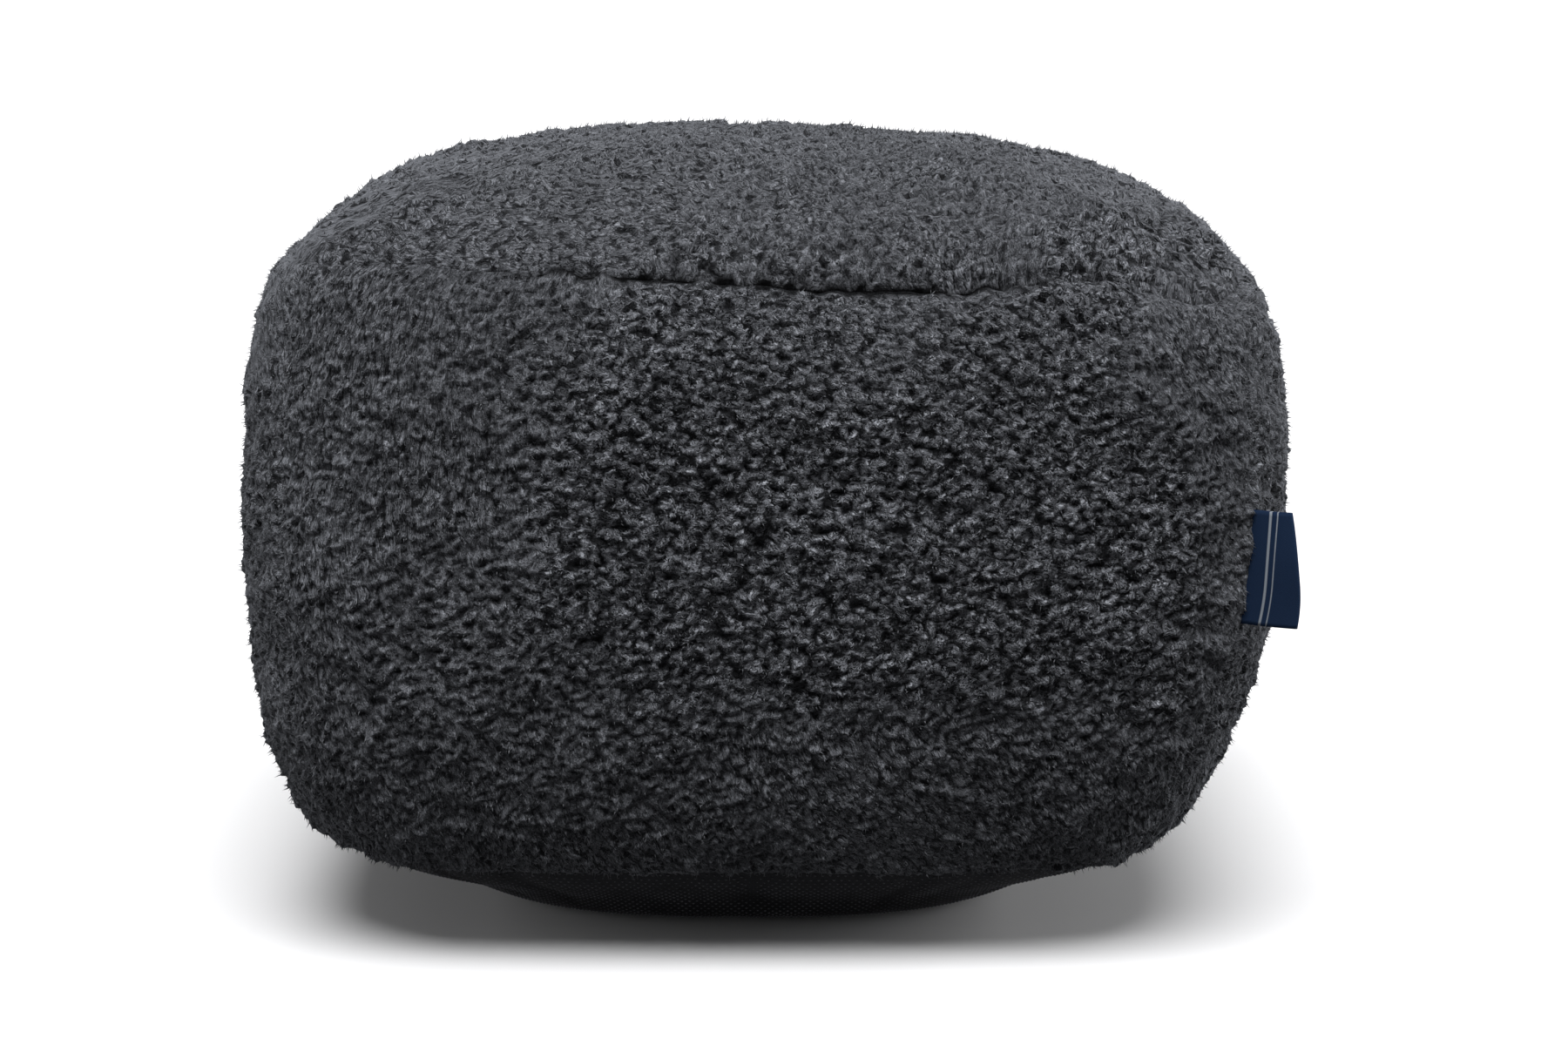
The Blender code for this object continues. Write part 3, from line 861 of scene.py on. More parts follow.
def lie_of_pile(panel, u, v, points):
    """The angle in which each lock lies and how curly it is, blended from the table and from noise."""
    loose_angle = LOOSE_ANGLE + ANGLE_SWING * drift(points, ANGLE_DRIFT)
    x, y = LOOSE_WEIGHT * np.cos(loose_angle), LOOSE_WEIGHT * np.sin(loose_angle)
    curl = LOOSE_WEIGHT * np.clip(LOOSE_CURL + CURL_SWING * drift(points, CURL_DRIFT), 0, 1)
    total = np.full(len(points), LOOSE_WEIGHT)
    wobble = EDGE_SWING * drift(points, EDGE_DRIFT)
    for nap in [row for row in NAPS if row.panel == panel]:
        weight = bell((u - nap.across) / nap.reach_across + wobble) * bell((v - nap.up) / nap.reach_up - wobble)
        x += weight * math.cos(math.radians(nap.angle))
        y += weight * math.sin(math.radians(nap.angle))
        curl += weight * nap.curl
        total += weight
    return np.arctan2(y, x), curl / total


print("Stroked places:", len(NAPS))

# %% [markdown]
# ## Planting the locks
# Teddy fleece is steamed until its fibres clump into short curled locks, about 6 mm long, that overlap like
# scales. Where it has been combed, they are longer, straighter and thinner. They are planted on a grid of cells
# 3.5 mm wide, one in each, at a random place in its cell so that no row shows. Each lock is a piece of a circle:
# the tighter its turn, the more it curls.

# %% Plant the locks of a panel
Locks = namedtuple("Locks", "root right upward normal angle length width height turn tint shape")
Make = namedtuple("Make", "length width height turn spread")
CURLED = Make(0.0062, 0.0021, 0.0042, math.radians(110), math.radians(180))
COMBED = Make(0.0110, 0.0016, 0.0036, math.radians(30), math.radians(14))
SPACING = 0.0035
PANEL_WIDTH, SIDE_HEIGHT, TOP_WIDTH = 0.445, 0.290, 0.400
TURN_DRIFT, HEIGHT_DRIFT = Drift(0.012, 33), Drift(0.012, 32)
HEIGHT_SWING = 0.15
dice = np.random.default_rng(5)


def panel_size(panel):
    return (TOP_WIDTH, TOP_WIDTH) if panel == TOP else (PANEL_WIDTH, SIDE_HEIGHT)


def directions(panel, normal):
    """Unit vectors along the cloth: to the panel's right, and up."""
    x, y = (1, 0) if panel == TOP else (-PANELS[panel].facing_y, PANELS[panel].facing_x)
    right = np.array([x, y, 0.0])
    right = unit(right - normal * (normal @ right)[..., None])
    return right, np.cross(normal, right)


def plant(panel):
    """One lock in each cell of a grid over the panel."""
    cells = [round(size / SPACING) for size in panel_size(panel)]
    j, i = np.meshgrid(np.arange(cells[0]), np.arange(cells[1]))
    shape = i.shape
    u = ((j + dice.uniform(0, 1, shape)) / cells[0]).ravel()
    v = ((i + dice.uniform(0, 1, shape)) / cells[1]).ravel()
    level, around = on_panel(panel, u, v)
    root, normal = backing(level, around), outward(level, around)
    right, upward = directions(panel, normal)
    angle, curl = lie_of_pile(panel, u, v, root)

    def blend(column, low, high):
        combed, curled = getattr(COMBED, column), getattr(CURLED, column)
        return (combed + (curled - combed) * curl) * dice.uniform(low, high, len(curl))

    turn = blend("turn", 0.5, 1.3) * np.sign(drift(root, TURN_DRIFT) + dice.uniform(-0.5, 0.5, len(u)))
    swell = 1 + HEIGHT_SWING * drift(root, HEIGHT_DRIFT)
    return Locks(
        root, right, upward, normal,
        angle + blend("spread", -1, 1), blend("length", 0.75, 1.3), blend("width", 0.75, 1.3),
        blend("height", 0.6, 1.15) * swell, turn, dice.uniform(0, 1, len(u)), shape,
    )


front_row = skin(LEVEL["mid_side"], np.linspace(0, 1, 99))
print("Length of the front panel:", round(float(lengths_along(front_row)[-1]), 3))

# %% [markdown]
# ## The pile as a thick crust
# The locks of real fleece are felted into each other, so the pile reads as one crumpled crust with dark
# crevices and not as separate things. It is built as a fine sheet over each panel. At each point, the height
# is that of the highest lock there: a lock is a rounded ridge along its arc, low at its root and highest just
# before its tip, where it drops steeply onto the next one. Each face also learns which lock it lies on and
# where, so that the fibres can run along that lock.

# %% Height of the pile
ROOT_END, TIP_END, TIP_PEAK = 0.1, 0.9, 0.85
ROOT_RISE, TIP_RISE = 0.42, 0.58
ROUNDNESS, END_DROP = 0.75, 2.0
NEAR_CELLS = range(-2, 3)


def on_lock(points, locks, index):
    """Place along a lock, from 0 at its root to 1 at its tip, and across it, from -1 to 1."""
    away = points - locks.root[index]
    x = np.sum(away * locks.right[index], axis=-1)
    y = np.sum(away * locks.upward[index], axis=-1)
    cos, sin = np.cos(locks.angle[index]), np.sin(locks.angle[index])
    ahead, aside = x * cos + y * sin, y * cos - x * sin
    length, turn = locks.length[index], locks.turn[index]
    side = np.sign(turn)
    radius = length / np.abs(turn)
    aside = aside * side
    from_centre = np.hypot(ahead, radius - aside)
    along = radius * np.arctan2(ahead, radius - aside) / length + 0.5
    across = (radius - from_centre) * side / locks.width[index]
    return along, across


def lock_height(points, locks, index):
    """Height of one lock at each point, which is far below the cloth away from the lock."""
    along, across = on_lock(points, locks, index)
    beyond = np.maximum(np.maximum(along - TIP_END, ROOT_END - along), 0)
    beyond = beyond * locks.length[index] / locks.width[index]
    rise = ROOT_RISE + TIP_RISE * np.sin(math.pi / 2 * np.clip(along / TIP_PEAK, 0, 1))
    return locks.height[index] * (rise - ROUNDNESS * (across * across + END_DROP * beyond * beyond))


def highest(points, u, v, locks):
    """Height of the pile at each point, and the lock that reaches it, among the cells close by."""
    rows, row_length = locks.shape
    i, j = (v * rows).astype(int), (u * row_length).astype(int)
    best, which = np.full(u.shape, -1.0), np.zeros(u.shape, dtype=int)
    for step_i in NEAR_CELLS:
        for step_j in NEAR_CELLS:
            index = np.clip(i + step_i, 0, rows - 1) * row_length + np.clip(j + step_j, 0, row_length - 1)
            height = lock_height(points, locks, index)
            higher = height > best
            best, which = np.where(higher, height, best), np.where(higher, index, which)
    return best, which


print("Height of a curled lock:", CURLED.height, "and of a combed one:", COMBED.height)

# %% [markdown]
# ## Pile at the seams
# Long pile hides most seams: the locks of both sides meet over the thread. Only where the thread is pulled
# hard, along the middle of the front, does the top seam open into a dark crease, and even there some locks
# bridge it. The crease is sunk, and its dark is also painted into the colour as shade. The sheets of two panels
# must also meet in one line, so each ends at a height, and wanders off the straight line by an amount, that
# depends only on the place along the seam.

# %% Heights at the seams
CREASES_OPEN = (
    Pull(0.61, 0.19, 1.00),
    Pull(0.37, 0.14, 0.60),
    Pull(1.12, 0.10, 0.25),
    Pull(2.40, 0.25, 0.70),
)
MEETING = 0.004
SEAM_REACH = 0.012
CREASE_WIDTH, DARK_WIDTH = 0.0048, 0.0021
CREASE_SINK, BRIDGED_SHARE = 0.9, 0.65
SEAM_PILE, BASE_PILE, CREASE_PILE = 0.0020, 0.0020, 0.0006
CORNER_PILE = 0.85 * CORNER_SEAM_DEPTH
WANDER, WANDER_WIDTH = 0.0011, 0.016
BRIDGE_DRIFT, WANDER_DRIFT = Drift(0.045, 41), Drift(0.035, 44)
BESIDE_DRIFT, DARK_DRIFT = Drift(0.010, 42), Drift(0.007, 43)
LABEL_MIDDLE, LABEL_SWELL, LABEL_SWELL_WIDTH = 6.1, 0.0060, 0.010


def uneven(around, kind):
    """Smooth random numbers along a seam. The wavelength is a share of a panel's width."""
    along = np.stack([around, 0 * around, 0 * around], axis=-1).reshape(-1, 3)
    return drift(along, kind).reshape(np.shape(around))


def opened(around):
    """How far the crease is open, from 0 to 1: a few locks still bridge it."""
    bridged = np.clip(uneven(around, BRIDGE_DRIFT), 0, 1.2)
    return np.clip(waves(around, CREASES_OPEN, "share"), 0, 1) * (1 - BRIDGED_SHARE * bridged)


def corner_fill(level, around):
    """How much of a corner seam the locks fill by standing up over it."""
    return valley(corner_distance(level, around), CORNER_PILE, CORNER_SEAM_WIDTH) * (level < TOP_SEAM)


def seam_pile(level, around):
    """Height of the pile on the seam lines."""
    near_top, near_base = (near_seam(level, around, seam, SEAM_REACH) for seam in (TOP_SEAM, BASE_SEAM))
    open_top = SEAM_PILE + (CREASE_PILE - SEAM_PILE) * opened(around)
    plain = SEAM_PILE + CORNER_PILE * (1 - near_top) * (1 - near_base)
    return plain * (1 - near_top - near_base) + open_top * near_top + BASE_PILE * near_base


def round_label(level, around):
    """Both sides of the corner seam are pushed up where they close round the root of the label."""
    from_corner = corner_distance(level, around) / LABEL_SWELL_WIDTH
    return LABEL_SWELL * bell((level - LABEL_MIDDLE) / 0.55) * bell(from_corner) * (np.round(around) == 1)


def settled(height, level, around, edge):
    """The height of the locks, lowered beside an open crease, filled at the corners and levelled on the seams."""
    ragged = 1 + 0.35 * drift(skin(level, around), BESIDE_DRIFT)
    beside = bell(from_seam(level, around, TOP_SEAM) / (CREASE_WIDTH * ragged))
    height = height * (1 - CREASE_SINK * opened(around) * beside) + corner_fill(level, around)
    meeting = valley(edge, 1, MEETING)
    return height * (1 - meeting) + seam_pile(level, around) * meeting + round_label(level, around)


def wander(level, around):
    """The top seam isn't ruler straight: locks push it up and down by a millimetre or so."""
    rise = unit(skin(TOP_SEAM + 0.05, around) - skin(TOP_SEAM - 0.05, around))
    near = near_seam(level, around, TOP_SEAM, WANDER_WIDTH)
    return rise * (WANDER * uneven(around, WANDER_DRIFT) * near)[..., None]


def in_crease(level, around):
    """Mask of the shade painted into an open crease: 1 deep in it and 0 away, ragged where locks hang over it."""
    ragged = 1 + 0.60 * np.clip(drift(skin(level, around), DARK_DRIFT), -1.4, 1.4)
    near = bell(from_seam(level, around, TOP_SEAM) / (DARK_WIDTH * ragged))
    return np.clip(1.5 * opened(around) * near, 0, 1)


print("Pile on the front crease:", seam_pile(np.array([9.0]), np.array([0.64])).round(4))

# %% [markdown]
# ## Lines that follow the lie of the pile
# On combed pile the tufts lie in streams, as hair does. A texture can only be stretched along such streams if
# the cloth has a measure that grows along them, a field whose slope is the direction of the pile at each point.
# No field has exactly that, so a Fourier transform finds the closest: it splits the slopes into waves, and the
# height of each wave is its slope divided by how fast it changes. A second field grows across the streams.

# %% Fields from their slopes
def integrate(slope_x, slope_y, step_x, step_y):
    """The field on a grid whose slopes come closest to the ones given. Mirroring makes it right at the edges."""
    rows, row_length = slope_x.shape
    wide_x = np.block([[slope_x, -slope_x[:, ::-1]], [slope_x[::-1], -slope_x[::-1, ::-1]]])
    wide_y = np.block([[slope_y, slope_y[:, ::-1]], [-slope_y[::-1], -slope_y[::-1, ::-1]]])
    wave_x, wave_y = np.meshgrid(
        math.tau * np.fft.fftfreq(2 * row_length, step_x), math.tau * np.fft.fftfreq(2 * rows, step_y)
    )
    square = wave_x ** 2 + wave_y ** 2
    square[0, 0] = 1
    spectrum = -1j * (wave_x * np.fft.fft2(wide_x) + wave_y * np.fft.fft2(wide_y)) / square
    return np.fft.ifft2(spectrum).real[:rows, :row_length]


FLOW_ALONG, FLOW_ACROSS = 0.58, 1.12


def flow_lines(angle, shape, size):
    """A place along the pile and one across it, in metres, pressed together along it to make long tufts."""
    step_x, step_y = size[0] / (shape[1] - 1), size[1] / (shape[0] - 1)
    cos, sin = np.cos(angle).reshape(shape), np.sin(angle).reshape(shape)
    along = integrate(cos, sin, step_x, step_y).ravel()
    across = integrate(-sin, cos, step_x, step_y).ravel()
    return np.stack([FLOW_ALONG * along, FLOW_ACROSS * across, 0 * along], axis=1)


print("Combed tufts are", round(FLOW_ACROSS / FLOW_ALONG, 1), "times as long as they are wide")

# %% The crust of a panel
CRUST_SPACING = (0.00120, 0.00150, 0.00170, 0.00150, 0.00135)
LOWEST, FILLED = 0.0004, 0.0026
FULL_TIP = 0.0055
SHEET_ACROSS, SHEET_UP = 0.82, 1.12
STRAND_SHIFT = 400
Grid = namedtuple("Grid", "u v shape faces")
Grown = namedtuple("Grown", "points normal ahead height")


def panel_grid(panel):
    """Places on a panel in rows and columns, and the squares between them."""
    count_u, count_v = (2 * round(size / CRUST_SPACING[panel] / 2) for size in panel_size(panel))
    u, v = np.meshgrid(np.linspace(0, 1, count_u), np.linspace(0, 1, count_v))
    first = (np.arange(count_v - 1)[:, None] * count_u + np.arange(count_u - 1)).ravel()
    faces = np.stack([first, first + 1, first + count_u + 1, first + count_u], axis=1)
    return Grid(u.ravel(), v.ravel(), (count_v, count_u), faces)


def strands(corners, which, locks):
    """Millimetres along and across its lock for each corner of a face, shifted at random for each lock."""
    along, across = on_lock(corners, locks, which[:, None])
    shift = dice.uniform(0, STRAND_SHIFT, (2, len(locks.tint)))[:, which][..., None]
    length, width = locks.length[which][:, None], locks.width[which][:, None]
    strand = np.stack([along * length * MM + shift[0], across * width * MM + shift[1], across], axis=-1)
    return strand.reshape(-1, 3)


def make_crust(panel):
    size, grid = panel_size(panel), panel_grid(panel)
    u, v, faces = grid.u, grid.v, grid.faces
    level, around = on_panel(panel, u, v)
    cloth, normal = backing(level, around), outward(level, around)
    locks = plant(panel)
    angle, curl = lie_of_pile(panel, u, v, cloth)
    height, _ = highest(cloth, u, v, locks)
    edge = np.minimum(np.minimum(u, 1 - u) * size[0], np.minimum(v, 1 - v) * size[1])
    height = settled(np.maximum(height, LOWEST + FILLED * (1 - curl)), level, around, edge)
    points = cloth + normal * height[:, None] + wander(level, around)

    corners = cloth[faces]
    _, which = highest(corners.mean(axis=1), u[faces].mean(axis=1), v[faces].mean(axis=1), locks)
    made = piece_from("pile_top" if panel == TOP else "pile_" + PANELS[panel].name, points, faces, FLEECE)
    store(made, "strand", strands(corners, which, locks), "CORNER")
    store(made, "tint", locks.tint[which], "FACE")
    # Painted shade: the tip falls to nothing in an open crease, which paints it nearly black.
    store(made, "tip", np.clip(ROOT_TIP + height / FULL_TIP, 0, 1) * (1 - in_crease(level, around)))
    store(made, "curl", curl)
    store(made, "lie", np.stack([np.cos(angle), np.sin(angle), 0 * angle], axis=1))
    sheet = [SHEET_ACROSS * u * size[0] + panel, SHEET_UP * v * size[1], 0 * u]
    store(made, "sheet", np.stack(sheet, axis=1))
    store(made, "flow", flow_lines(angle, grid.shape, size) + (3 * panel + 1, 0, 0))
    print(made.name, "has", 2 * len(faces), "triangles, from", len(locks.tint), "locks")
    right, upward = directions(panel, normal)
    ahead = right * np.cos(angle)[:, None] + upward * np.sin(angle)[:, None]
    return made, Grown(points, normal, ahead, height)


crusts, grown = zip(*[make_crust(panel) for panel in range(TOP + 1)])

# %% [markdown]
# ## Loose fibres
# Single fibres stand out of the locks, and against the light they give the stool its soft, fuzzy outline. One
# fibre is modelled as a thin three-sided spike. Thousands of copies grow from the tops of the locks, leaning
# the way the pile lies, and are joined into one mesh for the sides and one for the top.

# %% Grow the fibres
FIBRE_RADIUS = 0.00030
FIBRE_COUNTS = (10400, 7700, 7000, 7700, 8800)
FIBRE_SHORT, FIBRE_LONG = 0.0014, 0.0036
FIBRE_ROOT, FIBRE_LEAN, FIBRE_SPRAWL = 0.0005, 0.9, 0.40
FIBRE_PAINTED_HIGHLIGHT = (0.180, 0.186, 0.203, 1)
TALL_PILE = 0.0045


def model_cone(corners, radius, height, rise):
    """Points and triangles of a small closed cone, modelled round the origin and raised."""
    bpy.ops.mesh.primitive_cone_add(
        vertices=corners, radius1=radius, radius2=0, depth=height, end_fill_type="NGON"
    )
    cone = bpy.context.object
    bpy.ops.object.mode_set(mode="EDIT")
    bpy.ops.mesh.select_all(action="SELECT")
    bpy.ops.transform.translate(value=(0, 0, rise))
    bpy.ops.mesh.quads_convert_to_tris()
    bpy.ops.object.mode_set(mode="OBJECT")
    shape = np.array([vertex.co[:] for vertex in cone.data.vertices])
    faces = np.array([face.vertices[:] for face in cone.data.polygons])
    bpy.data.objects.remove(cone)
    return shape, faces


def copied(shape, root, side, other, upright, length=1):
    """Points of a copy of a shape on each root, turned to the three directions there."""
    across = root[:, None] + side[:, None] * shape[:, :1] + other[:, None] * shape[:, 1:2]
    return across + upright[:, None] * shape[:, 2:] * length


def joined(name, points, faces, material):
    """One piece from all the copies of a shape."""
    all_faces = (faces[None] + np.arange(len(points))[:, None, None] * points.shape[1]).reshape(-1, 3)
    print(name, "has", len(points), "copies and", len(all_faces), "triangles")
    return piece_from(name, points.reshape(-1, 3), all_faces, material)


def grow_fibres(name, panels):
    shape, faces = model_cone(3, FIBRE_RADIUS, 1, 0.5)
    copies = []
    for panel in panels:
        pile = grown[panel]
        likely = np.clip(pile.height / TALL_PILE, 0, 1) ** 3
        chosen = dice.choice(len(likely), FIBRE_COUNTS[panel], replace=False, p=likely / likely.sum())
        count = len(chosen)
        leaning = pile.ahead[chosen] * dice.uniform(0, FIBRE_LEAN, (count, 1))
        upright = unit(pile.normal[chosen] + leaning + dice.normal(0, FIBRE_SPRAWL, (count, 3)))
        side = unit(np.cross(upright, dice.normal(size=(count, 3))))
        length = dice.uniform(FIBRE_SHORT, FIBRE_LONG, (count, 1, 1))
        root = pile.points[chosen] - pile.normal[chosen] * FIBRE_ROOT
        copies.append(copied(shape, root, side, np.cross(upright, side), upright, length))
    return joined(name, np.concatenate(copies), faces, FIBRE)


def fibre_finish():
    made, tree, shader = finish("loose_fibre", 0.85)
    # Painted highlight: the fibres are mixed at random towards a pale colour, as if they caught the light.
    colour = blended_colours(tree, solid_noise(tree, 220.0, 1.0), (0.35, PILE_MIDDLE), (0.65, FIBRE_PAINTED_HIGHLIGHT))
    feed(tree, shader, Base_Color=colour)
    return made


FIBRE = fibre_finish()
fibres_sides = grow_fibres("fibres_sides", range(TOP))
fibres_top = grow_fibres("fibres_top", [TOP])

# %% [markdown]
# ## The base cloth
# The cloth under the stool is black, thin and slippery to the hand, with small raised rubber dots in staggered
# rows that grip the floor. It is a sheet that lies flat in the middle and rises to a seam that is tucked in
# behind the fleece. The seam gathers it into short creases.

# %% Model the base cloth
Crease = namedtuple("Crease", "around half_width depth")
BASE_COLUMNS = 64
CREASE_START = 1.25
DOTS_START = 1.06
base_dice = np.random.default_rng(9)
CREASE_RANGES = ((-0.05, 0.05), (0.010, 0.024), (0.0006, 0.0020))
CREASES = [
    Crease(place + shift, half_width, depth)
    for place in np.arange(0.06, 4, 0.125)
    for shift, half_width, depth in [[base_dice.uniform(low, high) for low, high in CREASE_RANGES]]
]


def crease_depth(level, around):
    """Short creases that run out from the seam and fade towards the flat middle."""
    share = np.clip((level - CREASE_START) / (BASE_SEAM - CREASE_START), 0, 1)
    return waves(around, CREASES, "depth") * np.sin(math.pi * share * 0.62) ** 2


def on_base(level, around):
    """Points of the outside of the base cloth."""
    return sunk(level, around, base_depth(level, around) + crease_depth(level, around))


def base_rings(around):
    yield pole(0, 0)
    for level in (*np.linspace(0.12, 1, 8), *np.linspace(DOTS_START, BASE_SEAM - SEAM_SLIT, 34)):
        yield on_base(level, around)
    for level in np.linspace(BASE_SEAM - SEAM_SLIT, 0.25, 14):
        yield sunk(level, around, base_depth(level, around) + BASE_THICKNESS)
    yield pole(0, BASE_THICKNESS)


base_loops = list(base_rings(columns(BASE_COLUMNS)))
base_points, base_faces = np.concatenate(base_loops), ring_faces(base_loops)
print("Base cloth:", len(base_faces), "triangles, creases:", len(CREASES))

# %% [markdown]
# The finish of the base cloth reads its own place on the cloth in millimetres. The threads are a fine weave,
# and the colour is a worn black.

# %% Base cloth finish
WORN_BLACK = (0.0075, 0.0077, 0.0088)
DOT_DARK, DOT_PALE = (0.055, 0.056, 0.062, 1), (0.130, 0.133, 0.145, 1)


def grip_finish():
    made, tree, shader = finish("base_weave", 0.62, 0.02, (0.5, 0.5, 0.55))
    cloth = stored(tree, "cloth", "Vector")
    weave = from_group(tree, WOVEN, Cloth=cloth, Threads=1.4)
    dust = noise(tree, cloth, 0.06, 4.0, "3D")
    thread = ranged(tree, weave["Thread"], low=0.6, high=1.3)
    light = multiplied(tree, thread, ranged(tree, dust, 0.35, 0.7, 0.8, 1.5))
    feed(
        tree, shader,
        Base_Color=scaled(tree, WORN_BLACK, light), Roughness=ranged(tree, dust, low=0.5, high=0.8),
        Normal=raised(tree, weave["Height"], 0.5, 0.0002),
    )
    return made


def dot_finish():
    made, tree, shader = finish("rubber_dots", 0.42)
    wear = solid_noise(tree, 60.0, 3.0)
    colour = blended_colours(tree, wear, (0.3, DOT_DARK), (0.7, DOT_PALE))
    feed(tree, shader, Base_Color=colour, Roughness=ranged(tree, wear, low=0.32, high=0.6))
    return made


GRIP, DOTS = grip_finish(), dot_finish()
base = piece_from("base_cloth", base_points, base_faces, GRIP)
store(base, "cloth", base_points * MM)
print("Finishes:", GRIP.name, DOTS.name)

# %% [markdown]
# ## Grip dots
# One dot is a low five-sided cone, and smooth shading rounds it. It is copied in staggered rows, 3.3 mm apart,
# over all of the cloth that rises off the floor. Under the flat middle the dots are pressed in, so none are
# modelled there.

# %% Model the dots
DOT_PITCH = 0.0033
DOT_RADIUS, DOT_HEIGHT = 0.00085, 0.00045
DOT_RISE = DOT_HEIGHT * 0.3
DOTS_REACH, DOTS_ACROSS = 0.19, 60
SAMPLE_LEVELS, SAMPLE_PLACES = 120, 720


def dot_grid():
    """Places on the floor in staggered rows."""
    row = DOT_PITCH * math.sqrt(3) / 2
    reach = int(DOTS_REACH / row)
    rows = []
    for i in range(-reach, reach + 1):
        x = (np.arange(-DOTS_ACROSS, DOTS_ACROSS + 1) + 0.5 * (i % 2)) * DOT_PITCH
        rows.append(np.stack([x, np.full_like(x, i * row)], axis=1))
    return np.concatenate(rows)


def inside(spots, ring):
    """Which spots lie inside a ring, seen from below."""
    angles = np.arctan2(ring[:, 1], ring[:, 0])
    order = np.argsort(angles)
    bearing = np.arctan2(spots[:, 1], spots[:, 0])
    rim = np.interp(bearing, angles[order], np.hypot(ring[:, 0], ring[:, 1])[order], period=math.tau)
    return np.hypot(spots[:, 0], spots[:, 1]) < rim


def lifted(spots, around):
    """Points and normals of the base cloth above spots on the floor, from the nearest of many samples."""
    levels = np.linspace(1.05, BASE_SEAM - 0.05, SAMPLE_LEVELS)
    surface = np.concatenate([on_base(level, around) for level in levels])
    normals = np.concatenate([outward(level, around) for level in levels])
    tree = KDTree(len(surface))
    for index, (x, y, _) in enumerate(surface):
        tree.insert((x, y, 0), index)
    tree.balance()
    nearest = np.array([tree.find((x, y, 0))[1] for x, y in spots])
    normal = normals[nearest]
    drop = ((spots - surface[nearest, :2]) * normal[:, :2]).sum(axis=1) / normal[:, 2]
    return np.column_stack([spots, surface[nearest, 2] - drop]), normal


def make_dots():
    around = np.linspace(0, 4, SAMPLE_PLACES + 1)[:-1]
    spots = dot_grid()
    spots = spots[~inside(spots, skin(DOTS_START, around)) & inside(spots, skin(BASE_SEAM - 0.12, around))]
    centre, normal = lifted(spots, around)
    right = unit(np.cross(normal, np.array([0.0, 1, 0])))
    shape, faces = model_cone(5, DOT_RADIUS, DOT_HEIGHT, DOT_RISE)
    return joined("grip_dots", copied(shape, centre, right, np.cross(normal, right), normal), faces, DOTS)


dots = make_dots()

# %% [markdown]
# ## The side label
# The label is a strip of fine navy weave, folded double, with its two ends caught in the corner seam. A
# section of the fold, a hairpin of two plies, is repeated up the seam and joined into a sheet. A pair of
# plain woven lines in a paler thread dresses it.

# %% Model the label
LABEL_AROUND = 1.0
LABEL_LEVELS = (5.70, 6.50)
LABEL_REACHES = (0.0275, 0.0200)
LABEL_ROOT_DEPTH = 0.0030
LABEL_PLY, LABEL_PLY_GAP = 0.0007, 0.0004
LABEL_TURN, LABEL_BOW, LABEL_RIPPLE = math.radians(24), 0.0012, 0.0006
LABEL_STATIONS, LABEL_STEPS, FOLD_STEPS = 29, 16, 6


def between(pair, share):
    return pair[0] + (pair[1] - pair[0]) * share


def label_path(share):
    """The middle line of the fold at one height, from its root, with the ways ahead and aside at each step."""
    place = np.array([LABEL_AROUND])
    level = between(LABEL_LEVELS, share)
    normal = unit(outward(level, place)[0] * (1, 1, 0))
    reach = between(LABEL_REACHES, share) + LABEL_BOW * (1 - (2 * share - 1) ** 2)
    ripple = LABEL_RIPPLE * math.sin(2.2 * math.pi * share + 0.7)
    centre = sunk(level, place, LABEL_ROOT_DEPTH)[0]
    heading = math.atan2(normal[1], normal[0])
    path = []
    for k in range(LABEL_STEPS + 1):
        part = k / LABEL_STEPS
        angle = heading + LABEL_TURN * part ** 0.8
        ahead = np.array([math.cos(angle), math.sin(angle), 0])
        aside = np.array([-ahead[1], ahead[0], 0])
        path.append((centre + aside * ripple * part * part, ahead, aside))
        centre = centre + ahead * (reach / LABEL_STEPS)
    return path, reach


def label_section(share):
    """The hairpin outline at one height, with each point's place along the cut strip."""
    path, reach = label_path(share)
    outer, inner = LABEL_PLY + LABEL_PLY_GAP / 2, LABEL_PLY_GAP / 2
    middle, ahead, aside = path[-1]
    angles = [math.pi * k / FOLD_STEPS for k in range(1, FOLD_STEPS)]
    spokes = [aside * math.cos(angle) + ahead * math.sin(angle) for angle in angles]

    def hairpin(half):
        left, right = ([middle + sign * side * half for middle, _, side in path] for sign in (1, -1))
        return left + [middle + half * spoke for spoke in spokes] + right[::-1]

    along = [k / LABEL_STEPS * reach for k in range(LABEL_STEPS + 1)]
    strip = along + [reach] * len(spokes) + along[::-1]
    return np.array(hairpin(outer) + hairpin(inner)[::-1]), np.array(strip + strip[::-1])


def label_ends(count):
    """Squares between the outer and inner outline, split in two, at the lower end and at the upper one."""
    half = count // 2
    for start, flip in ((0, False), ((LABEL_STATIONS - 1) * count, True)):
        outer, inner = np.arange(half) + start, np.arange(count - 1, half - 1, -1) + start
        a, b, c, d = outer[:-1], outer[1:], inner[1:], inner[:-1]
        for triangles in (np.stack([a, d, c], axis=1), np.stack([a, c, b], axis=1)):
            yield triangles[:, ::-1] if flip else triangles


def make_label():
    outlines, strips = zip(*[label_section(share) for share in np.linspace(0, 1, LABEL_STATIONS)])
    count = len(outlines[0])
    parts = []
    for station in range(LABEL_STATIONS - 1):
        parts += band(station * count, (station + 1) * count, count)
    points, strip = np.concatenate(outlines), np.concatenate(strips) * MM
    faces = np.concatenate([*parts, *label_ends(count)])
    return points, faces, np.stack([strip, points[:, 2] * MM, 0 * strip], axis=1)


label_points, label_faces, label_cloth = make_label()
print("Label:", len(label_faces), "triangles")

# %% Label finish
NAVY, PALE_THREAD = (0.0115, 0.0240, 0.0560, 1), (0.260, 0.290, 0.330, 1)
WOVEN_LINES = ((12.0, 1.1), (15.0, 0.5))
LINE_EDGE = 0.15


